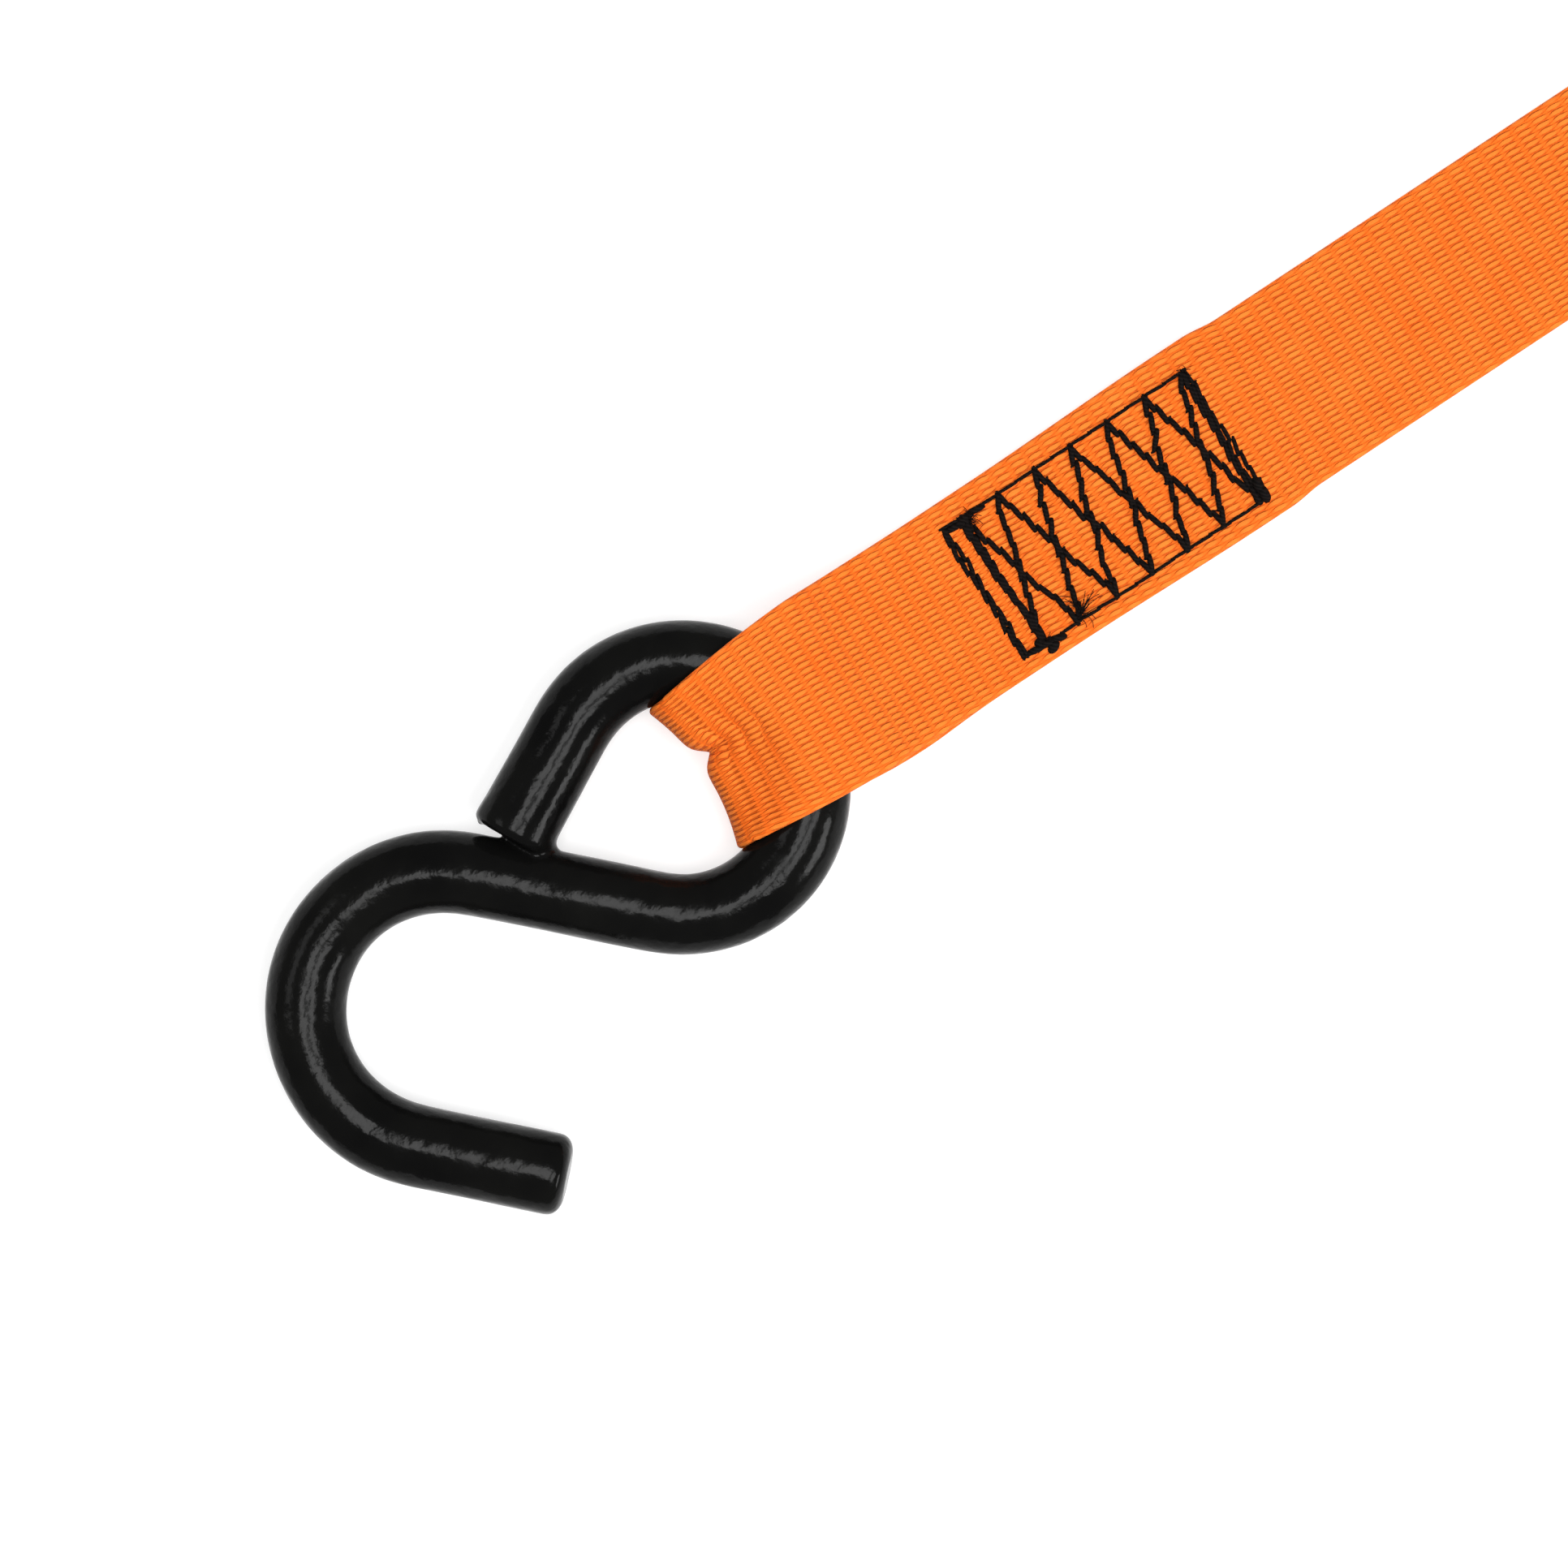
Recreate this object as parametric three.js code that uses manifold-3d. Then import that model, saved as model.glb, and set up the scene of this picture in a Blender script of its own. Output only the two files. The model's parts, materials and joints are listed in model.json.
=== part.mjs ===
// A one-inch ratchet strap, laid out flat with its ratchet open: a short strap with an S-hook, the ratchet
// buckle, and a long strap that is wound on the spool, coiled, and ends in a second S-hook.
//
// Millimetres. +X runs along the strap from the short strap's hook to the coil, +Y is across it, +Z is up.
// The origin is the middle of the ratchet frame's underside, and everything lies on the plane Z = 0.
import * as THREE from "three";
import { mergeVertices } from "three/addons/utils/BufferGeometryUtils.js";
import Module from "manifold-3d";

const wasm = await Module();
wasm.setup();

// ---- Driving dimensions ----
const GAP = 0.3; // between pieces that touch
const STRAP_W = 25.4; // webbing width
const STRAP_T = 1.3; // webbing thickness

// S-hook: a bent rod with a dipped vinyl coat. Its frame has the eye's centre as origin and the strap along +X.
const ROD_R = 3.97;
const COAT_R = 5.3;
const BORE_R = 4.45; // the coat's inner wall
const EYE_R = 16.4; // centre-line radius of the closed end, which the webbing goes round
const MOUTH_R = 17.9; // centre-line radius of the open end
const SHANK = 24.5; // straight length between the two bends
const SHANK_ANGLE = -Math.PI / 4; // the shank's lean to the strap
const EYE_END = THREE.MathUtils.degToRad(118); // where the eye's arc becomes the return arm
const RETURN_ARM = 15; // straight end of the rod after the eye
const FREE_ARM = 20; // straight end of the rod at the mouth
const TIP_COAT = 1.4; // coat over the free tip
const COAT_SIDES = 12;
const ROD_SIDES = 8;
const HOOK_STEPS = 38;
const HOOK_Z = 7.3; // height of the rod's middle at the webbing loop
const HOOK_TILT = THREE.MathUtils.degToRad(1.4); // lets the far bend down to the ground
const LOOP_END = 25.8; // from the eye's centre to where the loop meets the flat strap
const NECK_GAP = 2.2; // lets the loop turn there

// Sewn end of a strap, from the eye's centre
const STITCH_START = 46.2;
const STITCH_LENGTH = 37.7;
const STITCH_WIDTH = 19.6;
const TAIL_END = 87; // the folded-back layer's cut end
const THREAD_W = 0.9;
const THREAD_T = 0.4;

// Ratchet: the spool's axis and the anchor bolt's axis, both along Y
const SPOOL = { x: 33, z: 20 };
const BOLT = { x: -33, z: 11 };
const BOLT_R = 3;
const SLEEVE_R = 4.8;
const HEX = 10; // across the flats of the bolt's head and nut
const BOLT_EAR_R = 8.5;
const PLATE = 2.5;
const FRAME_IN = 14; // half the width between the frame's side plates
const WHEEL_IN = 16.9; // inner face of a ratchet wheel
const HANDLE_IN = 19.8;
const HANDLE_PLATE = 2;
const FRAME_TOP = 19.5; // top edge of the frame's side plates
const EAR_R = 19; // the frame's cam lobes
const EAR_LOW_R = 11.6; // and the sector between them, where the drive pawl reaches the teeth
const EAR_LOW_FROM = THREE.MathUtils.degToRad(32);
const EAR_LOW_TO = THREE.MathUtils.degToRad(148);
const NOTCH_X = 16.5; // how near the axis the two latching notches come
const FRAME_WEB_END = 7;
const SPRING_TAB_HALF = 5;
const SPRING_TAB_TOP = 18;
const TEETH = 12;
const TIP_R = 15.6;
const ROOT_R = 12;
const MANDREL_R = 8;
const SLOT_HALF = 1.6; // half the gap between the two spool halves
const MANDREL_HALF = 26; // half the spool's length
const PIN_Y = 24.5; // cotter pins
const PIN_R = 1;
const WASHER_R = 12;
const WASHER_IN = 22.1;
const WASHER_OUT = 23.1;
const PAWL_T = 3;
const PEG_HALF = 1.8; // half the width of the pegs that carry the pawls' springs
const LOCK_Z = 13.5; // middle of the lock pawl
const LOCK_NOSE = -15.3; // from the spool's axis
const LOCK_REAR = -27;
const LOCK_TAB = -13.5; // the face that the lock pawl's spring pushes against
const LOCK_TRAVEL = 3.7;
const DRIVE_Z = -2; // middle of the drive pawl, below the spool's axis
const DRIVE_NOSE = 19.3;
const DRIVE_REAR = 31;
const DRIVE_TAB = 58.7; // the handle's face that the drive pawl's spring pushes against
const DRIVE_IN = 2.5; // travel into a notch
const DRIVE_OUT = 3; // travel when pulled
const SPRING_R = 3.2;
const WIRE_R = 0.45;

// Handle, measured from the spool's axis
const HANDLE_LOW = -9.5;
const HANDLE_FLANGE = -1.5;
const HANDLE_END = 104;
const HANDLE_WEB = 61;
const HANDLE_EAR_R = 13;
const GRIP_START = 63;
const GRIP_END = 106;
const GRIP_HALF = 24;

// Straps: where they lie
const BAR_TO_BOLT = 200; // from the short strap's hook bar to the anchor bolt
const EYE_A = new THREE.Vector3(BOLT.x - BAR_TO_BOLT - EYE_R, 0, HOOK_Z);
const EYE_B = new THREE.Vector3(9.6, -52, HOOK_Z);
const ANCHOR_TAIL = 58; // from the bolt to the end of the layer folded back there
const CLIMB = 66; // from the bolt to where the short strap reaches the ground
const CLOSE = 16; // from the bolt to where the anchor loop's two layers meet
const LANDING = 48; // from the spool to where the long strap reaches the ground
const WRAP_R = 11.9; // middle of the outer turn on the spool
const COIL = { x: 210, y: 32.85, r: 35, hole: 11, lift: 1.7 };
const TWIST_START = 146;
const TWIST_END = 194;
const SWING_R = 25; // bends of the run from the coil to the second hook
const SWING_TURN = Math.PI / 3;

// ---- Materials ----
const steel = new THREE.MeshStandardMaterial({ color: 0xb9bcc0, roughness: 0.35, metalness: 1 });
const darkSteel = new THREE.MeshStandardMaterial({ color: 0x8d8f92, roughness: 0.45, metalness: 1 });
const vinyl = new THREE.MeshStandardMaterial({ color: 0x0c0c0c, roughness: 0.3, metalness: 0 });
const rubber = new THREE.MeshStandardMaterial({ color: 0x17181a, roughness: 0.75, metalness: 0 });
const webbing = new THREE.MeshStandardMaterial({ color: 0xff7316, roughness: 0.8, metalness: 0 });
const thread = new THREE.MeshStandardMaterial({ color: 0x0d0d0d, roughness: 0.9, metalness: 0 });

// ---- Helpers ----
function solidOf(geometry) {
  const bare = geometry.clone();
  bare.deleteAttribute("normal");
  bare.deleteAttribute("uv");
  const merged = mergeVertices(bare, 1e-4);
  return new wasm.Manifold(
    new wasm.Mesh({
      numProp: 3,
      vertProperties: merged.attributes.position.array,
      triVerts: new Uint32Array(merged.index.array),
    }),
  );
}

function geometryOf(solid) {
  const made = solid.getMesh();
  const geometry = new THREE.BufferGeometry();
  geometry.setAttribute("position", new THREE.BufferAttribute(new Float32Array(made.vertProperties), 3));
  geometry.setIndex(new THREE.BufferAttribute(new Uint32Array(made.triVerts), 1));
  geometry.computeVertexNormals();
  return geometry;
}

const union = (...parts) => parts.map(solidOf).reduce((a, b) => a.add(b));
const box = (x0, x1, y0, y1, z0, z1) =>
  new THREE.BoxGeometry(x1 - x0, y1 - y0, z1 - z0).translate((x0 + x1) / 2, (y0 + y1) / 2, (z0 + z1) / 2);

// A shape drawn in X and Z, with thickness from y0 to y1.
function plateXZ(shape, y0, y1, curveSegments = 8) {
  const geometry = new THREE.ExtrudeGeometry(shape, { depth: y1 - y0, bevelEnabled: false, curveSegments });
  return geometry.rotateX(Math.PI / 2).translate(0, y1, 0);
}

// A shape drawn in X and Y, with thickness from z0 to z1.
function plateXY(shape, z0, z1, curveSegments = 8) {
  const geometry = new THREE.ExtrudeGeometry(shape, { depth: z1 - z0, bevelEnabled: false, curveSegments });
  return geometry.translate(0, 0, z0);
}

// A cylinder along Y.
const rodY = (r, y0, y1, x, z, sides = 24) =>
  new THREE.CylinderGeometry(r, r, y1 - y0, sides).translate(x, (y0 + y1) / 2, z);

function polygon(points) {
  return new THREE.Shape(points.map(([x, y]) => new THREE.Vector2(x, y)));
}

function circle(r, x = 0, y = 0) {
  return new THREE.Shape().absarc(x, y, r, 0, 2 * Math.PI, false);
}

function ring(outer, inner, x, y) {
  const shape = circle(outer, x, y);
  shape.holes.push(circle(inner, x, y));
  return shape;
}

function at(centre, radius, angle) {
  return [centre.x + radius * Math.cos(angle), centre.y + radius * Math.sin(angle)];
}

// A 2D path as a 3D curve in the plane Z = 0.
class FlatCurve extends THREE.Curve {
  constructor(path) {
    super();
    this.path = path;
  }
  getPoint(t, target = new THREE.Vector3()) {
    const p = this.path.getPointAt(Math.min(Math.max(t, 0), 1));
    return target.set(p.x, p.y, 0);
  }
}

function tube(curve, radius, sides, steps) {
  const points = Array.from({ length: sides }, (_, i) => at({ x: 0, y: 0 }, radius, (2 * Math.PI * i) / sides));
  return new THREE.ExtrudeGeometry(polygon(points), { extrudePath: curve, steps, bevelEnabled: false });
}

class Helix extends THREE.Curve {
  constructor(radius, turns, length) {
    super();
    Object.assign(this, { radius, turns, length });
  }
  getPoint(t, target = new THREE.Vector3()) {
    const a = 2 * Math.PI * this.turns * t;
    return target.set(this.length * t, this.radius * Math.cos(a), this.radius * Math.sin(a));
  }
}

// Webbing along stations, each with a middle point, a unit vector across it and one through its thickness.
function ribbon(stations) {
  const n = stations.length - 1;
  const geometry = new THREE.BoxGeometry(1, STRAP_W, STRAP_T, n, 1, 1);
  const place = geometry.attributes.position;
  for (let i = 0; i < place.count; i++) {
    const { middle, across, normal } = stations[Math.round((place.getX(i) + 0.5) * n)];
    const p = middle.clone().addScaledVector(across, place.getY(i)).addScaledVector(normal, place.getZ(i));
    place.setXYZ(i, p.x, p.y, p.z);
  }
  return geometry;
}

const smooth = (t) => t * t * (3 - 2 * t);

const group = new THREE.Group();

function add(name, made, material, parent = group) {
  const geometry = made.isBufferGeometry ? made : geometryOf(made);
  const mesh = new THREE.Mesh(geometry, material);
  mesh.name = name;
  parent.add(mesh);
  return mesh;
}

// ---- S-hooks ----
// The rod's centre line from the free tip round the mouth, along the shank and round the eye.
function hookPath(freeArm, returnArm) {
  const origin = { x: 0, y: 0 };
  const along = [Math.cos(SHANK_ANGLE), Math.sin(SHANK_ANGLE)];
  const eyeStart = SHANK_ANGLE - Math.PI / 2;
  const [ex, ey] = at(origin, EYE_R, eyeStart);
  const shankTop = { x: ex - SHANK * along[0], y: ey - SHANK * along[1] };
  const [mx, my] = at(shankTop, MOUTH_R, eyeStart);
  const [fx, fy] = at({ x: mx, y: my }, MOUTH_R, eyeStart);
  const path = new THREE.Path();
  path.moveTo(fx + freeArm * along[0], fy + freeArm * along[1]);
  path.lineTo(fx, fy);
  path.absarc(mx, my, MOUTH_R, eyeStart, eyeStart - Math.PI, true);
  path.lineTo(ex, ey);
  path.absarc(0, 0, EYE_R, eyeStart, EYE_END, false);
  const [rx, ry] = at(origin, EYE_R, EYE_END);
  path.lineTo(...at({ x: rx, y: ry }, returnArm, EYE_END + Math.PI / 2));
  return new FlatCurve(path);
}

// The bead of vinyl that joins the return arm's tip to the shank where the two nearly touch.
function tipBead() {
  const bead = new THREE.CylinderGeometry(1.8, 1.8, 6, 10);
  return bead.rotateZ(Math.PI / 4).translate(-18.2, 3.4, 0);
}

function hookCoat() {
  const outer = union(tube(hookPath(FREE_ARM, RETURN_ARM), COAT_R, COAT_SIDES, HOOK_STEPS), tipBead());
  const bore = tube(hookPath(FREE_ARM - TIP_COAT, RETURN_ARM + GAP), BORE_R, ROD_SIDES, HOOK_STEPS);
  return outer.subtract(solidOf(bore));
}

// The webbing's fold round the eye: a sleeve on the rod and a wedge that closes to the two flat layers.
function hookLoop() {
  const half = STRAP_W / 2;
  const eye = new THREE.Path().absarc(0, 0, EYE_R, -Math.PI / 2, Math.PI / 2, false);
  const sleeve = tube(new FlatCurve(eye), COAT_R + GAP + STRAP_T, COAT_SIDES, 16);
  const floor = HOOK_Z - GAP;
  const top = COAT_R + STRAP_T;
  const wedge = polygon([
    [EYE_R, -floor],
    [LOOP_END, -floor],
    [LOOP_END, -floor + 2 * STRAP_T],
    [EYE_R, top],
    [EYE_R - COAT_R, top],
    [EYE_R - COAT_R, -floor],
  ]);
  const outer = union(sleeve, plateXZ(wedge, -half, half)).intersect(
    solidOf(box(0, LOOP_END, -half, half, -HOOK_Z, HOOK_Z)),
  );
  const room = tube(hookPath(FREE_ARM, 0), COAT_R + GAP, COAT_SIDES, HOOK_STEPS);
  return outer.subtract(solidOf(room));
}

function addHook(letter, loopName, place) {
  const hook = new THREE.Group();
  hook.position.copy(place);
  hook.rotation.y = -HOOK_TILT;
  // The tilt is about the bar inside the loop, so the eye's centre drops a little.
  hook.position.z -= EYE_R * Math.sin(HOOK_TILT);
  add(`hook_${letter}_core`, tube(hookPath(FREE_ARM - TIP_COAT - GAP, RETURN_ARM - GAP), ROD_R, ROD_SIDES,
    HOOK_STEPS), steel, hook);
  add(`hook_${letter}_coating`, hookCoat(), vinyl, hook);
  add(loopName, hookLoop(), webbing, hook);
  group.add(hook);
}

// ---- Stitching: a box with a zigzag ----
function stitching(x0, length, width, z, y = 0) {
  const line = (ax, ay, bx, by) => {
    const piece = new THREE.BoxGeometry(Math.hypot(bx - ax, by - ay), THREAD_W, THREAD_T);
    return piece.rotateZ(Math.atan2(by - ay, bx - ax)).translate((ax + bx) / 2, (ay + by) / 2, 0);
  };
  const half = width / 2;
  const legs = 4;
  const zigzag = Array.from({ length: legs }, (_, i) => {
    const side = i % 2 ? half : -half;
    return line((length * i) / legs, side, (length * (i + 1)) / legs, -side);
  });
  const edge = THREAD_W / 2;
  const outline = polygon([[-edge, -half - edge], [length + edge, -half - edge], [length + edge, half + edge],
    [-edge, half + edge]]);
  outline.holes.push(polygon([[edge, edge - half], [length - edge, edge - half], [length - edge, half - edge],
    [edge, half - edge]]));
  const frame = plateXY(outline, -THREAD_T / 2, THREAD_T / 2);
  return geometryOf(union(frame, ...zigzag)).translate(x0, y, z);
}

// ---- Ratchet frame ----
// Side plate: a bolt ear, a straight body and a cam ear with a latching notch on each side of the low sector.
function framePlate() {
  const s = { x: SPOOL.x, y: SPOOL.z };
  const closedNotch = PAWL_T / 2 - DRIVE_Z + GAP; // top of the notch for the closed handle
  const openTop = DRIVE_Z + PAWL_T / 2 + GAP;
  const openBottom = DRIVE_Z - PAWL_T / 2 - GAP;
  const shape = new THREE.Shape();
  shape.moveTo(BOLT.x, BOLT.z + BOLT_EAR_R);
  shape.absarc(BOLT.x, BOLT.z, BOLT_EAR_R, Math.PI / 2, 1.5 * Math.PI, false);
  shape.lineTo(BOLT.x + 6, 0);
  shape.lineTo(s.x - 8, 0);
  shape.lineTo(s.x, s.y - EAR_R);
  shape.absarc(s.x, s.y, EAR_R, -Math.PI / 2, Math.asin(openBottom / EAR_R), false);
  shape.lineTo(s.x + NOTCH_X, s.y + openBottom);
  shape.lineTo(s.x + NOTCH_X, s.y + openTop);
  shape.absarc(s.x, s.y, EAR_R, Math.asin(openTop / EAR_R), EAR_LOW_FROM, false);
  shape.absarc(s.x, s.y, EAR_LOW_R, EAR_LOW_FROM, EAR_LOW_TO, false);
  shape.absarc(s.x, s.y, EAR_R, EAR_LOW_TO, Math.PI - Math.asin(closedNotch / EAR_R), false);
  shape.lineTo(s.x - NOTCH_X, s.y + closedNotch);
  shape.lineTo(s.x - NOTCH_X, FRAME_TOP);
  shape.lineTo(BOLT.x, FRAME_TOP);
  shape.holes.push(circle(MANDREL_R + GAP, s.x, s.y));
  shape.holes.push(circle(BOLT_R + GAP, BOLT.x, BOLT.z));
  const slot = { x0: s.x + LOCK_REAR - 0.4, x1: s.x + LOCK_NOSE + LOCK_TRAVEL + 0.4 };
  shape.holes.push(polygon([
    [slot.x0, LOCK_Z - PAWL_T / 2 - GAP],
    [slot.x1, LOCK_Z - PAWL_T / 2 - GAP],
    [slot.x1, LOCK_Z + PAWL_T / 2 + GAP],
    [slot.x0, LOCK_Z + PAWL_T / 2 + GAP],
  ]));
  return shape;
}

function ratchetFrame() {
  const plates = [-1, 1].map((side) => {
    const [y0, y1] = side < 0 ? [-FRAME_IN - PLATE, -FRAME_IN] : [FRAME_IN, FRAME_IN + PLATE];
    return plateXZ(framePlate(), y0, y1, 10);
  });
  const outside = FRAME_IN + PLATE;
  const web = box(LOCK_TAB - PLATE, FRAME_WEB_END, -outside, outside, 0, PLATE);
  const springTab = box(LOCK_TAB - PLATE, LOCK_TAB, -SPRING_TAB_HALF, SPRING_TAB_HALF, 0, SPRING_TAB_TOP);
  return union(...plates, web, springTab);
}

// ---- Spool ----
// A shape of the spool's own section: a half disc above or below the slot.
function halfDisc(radius, flat, side) {
  const a = Math.asin(flat / radius);
  const shape = new THREE.Shape();
  if (side > 0) shape.absarc(SPOOL.x, SPOOL.z, radius, a, Math.PI - a, false);
  else shape.absarc(SPOOL.x, SPOOL.z, radius, Math.PI + a, 2 * Math.PI - a, false);
  shape.closePath();
  return shape;
}

function spoolHalf(side) {
  const half = solidOf(plateXZ(halfDisc(MANDREL_R, SLOT_HALF, side), -MANDREL_HALF, MANDREL_HALF, 12));
  return [-PIN_Y, PIN_Y].reduce((left, y) => {
    const hole = new THREE.CylinderGeometry(PIN_R + GAP, PIN_R + GAP, 20, 10).rotateX(Math.PI / 2);
    return left.subtract(solidOf(hole.translate(SPOOL.x, y, SPOOL.z)));
  }, half);
}

// Teeth with a steep face on the side that the lock pawl holds and a long ramp on the other.
function wheelShape() {
  const pitch = (2 * Math.PI) / TEETH;
  const deg = THREE.MathUtils.degToRad;
  const first = deg(198.3);
  const s = { x: SPOOL.x, y: SPOOL.z };
  const points = [];
  for (let i = 0; i < TEETH; i++) {
    const steep = first + i * pitch;
    points.push(at(s, ROOT_R, steep - deg(22)));
    points.push(at(s, TIP_R, steep - deg(4)));
    points.push(at(s, TIP_R, steep));
    points.push(at(s, ROOT_R, steep + deg(1)));
  }
  const shape = polygon(points);
  for (const side of [-1, 1]) shape.holes.push(halfDisc(MANDREL_R + GAP, SLOT_HALF - GAP, side));
  return shape;
}

function cotterPin(y) {
  const shank = new THREE.CylinderGeometry(PIN_R, PIN_R, 20, 8).rotateX(Math.PI / 2);
  const eye = new THREE.TorusGeometry(1.7, 0.7, 6, 10).rotateX(Math.PI / 2).translate(0, 0, 11.4);
  const bentLegs = new THREE.BoxGeometry(4.5, 1.6, 1.2).translate(0, 0, -10.2);
  return geometryOf(union(shank, eye, bentLegs)).translate(SPOOL.x, y, SPOOL.z);
}

// The inner turns of the long strap, with the piece of it that crosses the slot.
function strapOnSpool() {
  const half = STRAP_W / 2;
  const turns = plateXZ(ring(WRAP_R - 0.95, MANDREL_R + 0.35, SPOOL.x, SPOOL.z), -half, half, 12);
  const reach = MANDREL_R + 1;
  const low = SPOOL.z - STRAP_T / 2;
  const inSlot = box(SPOOL.x - reach, SPOOL.x + reach, -half, half, low, low + STRAP_T);
  return union(turns, inSlot);
}

// ---- Pawls: plates whose outer ends reach the two ratchet wheels ----
function lockPawl() {
  const rear = SPOOL.x + LOCK_REAR;
  const nose = SPOOL.x + LOCK_NOSE;
  const inner = FRAME_IN - GAP;
  const outer = HANDLE_IN - 0.4;
  const shape = polygon([
    [rear, -outer], [nose, -outer], [nose, -inner], [nose - 3, -inner + 2], [nose - 3, inner - 2],
    [nose, inner], [nose, outer], [rear, outer], [rear, PEG_HALF], [rear - 9, PEG_HALF],
    [rear - 9, -PEG_HALF], [rear, -PEG_HALF],
  ]);
  return plateXY(shape, LOCK_Z - PAWL_T / 2, LOCK_Z + PAWL_T / 2);
}

function drivePawl() {
  const z = SPOOL.z + DRIVE_Z;
  const rear = SPOOL.x + DRIVE_REAR;
  const nose = SPOOL.x + DRIVE_NOSE;
  const outer = HANDLE_IN + HANDLE_PLATE + 0.6;
  const inner = HANDLE_IN - GAP;
  const shape = polygon([
    [nose, -outer], [rear - 2, -outer], [rear - 2, -inner], [rear, -inner], [rear, -PEG_HALF],
    [rear + 10, -PEG_HALF], [rear + 10, PEG_HALF], [rear, PEG_HALF], [rear, inner], [rear - 2, inner],
    [rear - 2, outer], [nose, outer],
  ]);
  const plate = plateXY(shape, z - PAWL_T / 2, z + PAWL_T / 2);
  // Two finger pulls, bent down beside the spring.
  const pulls = [-1, 1].map((side) => {
    const [y0, y1] = side < 0 ? [-15, -5.5] : [5.5, 15];
    return box(rear - 2, rear, y0, y1, z - PAWL_T / 2 - 5, z);
  });
  return union(plate, ...pulls);
}

function spring(x0, x1, z, turns) {
  const reach = x1 - x0 - 2 * (WIRE_R + GAP);
  return tube(new Helix(SPRING_R, turns, reach), WIRE_R, 5, turns * 8).translate(x0 + WIRE_R + GAP, 0, z);
}

// ---- Handle ----
function handlePlate() {
  const { x, z } = SPOOL;
  const shape = new THREE.Shape();
  shape.moveTo(x + 4, z - HANDLE_EAR_R + 0.6);
  shape.lineTo(x + 12, z + HANDLE_LOW);
  shape.lineTo(x + HANDLE_END, z + HANDLE_LOW);
  shape.lineTo(x + HANDLE_END, z + HANDLE_FLANGE);
  shape.lineTo(x + 58, z + HANDLE_FLANGE);
  shape.lineTo(x + 40, z + 5);
  shape.absarc(x, z, HANDLE_EAR_R, THREE.MathUtils.degToRad(50), 1.5 * Math.PI, false);
  shape.closePath();
  shape.holes.push(circle(MANDREL_R + GAP, x, z));
  const z0 = z + DRIVE_Z - PAWL_T / 2 - GAP;
  const z1 = z + DRIVE_Z + PAWL_T / 2 + GAP;
  const x0 = x + DRIVE_NOSE - DRIVE_IN - 0.4;
  const x1 = x + DRIVE_REAR - 2 + DRIVE_OUT + 0.4;
  shape.holes.push(polygon([[x0, z0], [x1, z0], [x1, z1], [x0, z1]]));
  return shape;
}

function handleFrame() {
  const outside = HANDLE_IN + HANDLE_PLATE;
  const spans = [[-outside, -HANDLE_IN], [HANDLE_IN, outside]];
  const plates = spans.map(([y0, y1]) => plateXZ(handlePlate(), y0, y1, 10));
  const low = SPOOL.z + HANDLE_LOW;
  const x0 = SPOOL.x + HANDLE_WEB;
  const web = box(x0 - 2, SPOOL.x + HANDLE_END, -outside, outside, low, low + HANDLE_PLATE);
  const springTab = box(SPOOL.x + DRIVE_TAB, SPOOL.x + DRIVE_TAB + HANDLE_PLATE, -6, 6, low, SPOOL.z + 1);
  return union(...plates, web, springTab);
}

function handleGrip() {
  const { x, z } = SPOOL;
  const outside = HANDLE_IN + HANDLE_PLATE + GAP;
  const low = z + HANDLE_LOW;
  const end = x + HANDLE_END + GAP;
  const outer = box(x + GRIP_START, x + GRIP_END, -GRIP_HALF, GRIP_HALF, low - 2.5, z + 0.2);
  const pocket = union(
    box(0, end, -outside, outside, low - GAP, low + HANDLE_PLATE + GAP),
    box(0, end, -outside, -HANDLE_IN + GAP, low - GAP, z + HANDLE_FLANGE + GAP),
    box(0, end, HANDLE_IN - GAP, outside, low - GAP, z + HANDLE_FLANGE + GAP),
  );
  return solidOf(outer).subtract(pocket);
}

// ---- Anchor bolt ----
function hexagon(acrossFlats, x, z) {
  const r = acrossFlats / Math.sqrt(3);
  return polygon(Array.from({ length: 6 }, (_, i) => at({ x, y: z }, r, (i * Math.PI) / 3)));
}

function anchorBolt() {
  const seat = FRAME_IN + PLATE + GAP;
  return union(
    rodY(BOLT_R, -seat - 1, 23.2, BOLT.x, BOLT.z, 16),
    plateXZ(hexagon(HEX, BOLT.x, BOLT.z), -seat - 4, -seat),
  );
}

function anchorNut() {
  const seat = FRAME_IN + PLATE + GAP;
  const shape = hexagon(HEX, BOLT.x, BOLT.z);
  shape.holes.push(circle(BOLT_R + GAP, BOLT.x, BOLT.z));
  return plateXZ(shape, seat, seat + 5, 6);
}

function anchorSleeve() {
  const half = FRAME_IN - GAP;
  return plateXZ(ring(SLEEVE_R, BOLT_R + GAP, BOLT.x, BOLT.z), -half, half, 10);
}

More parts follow.
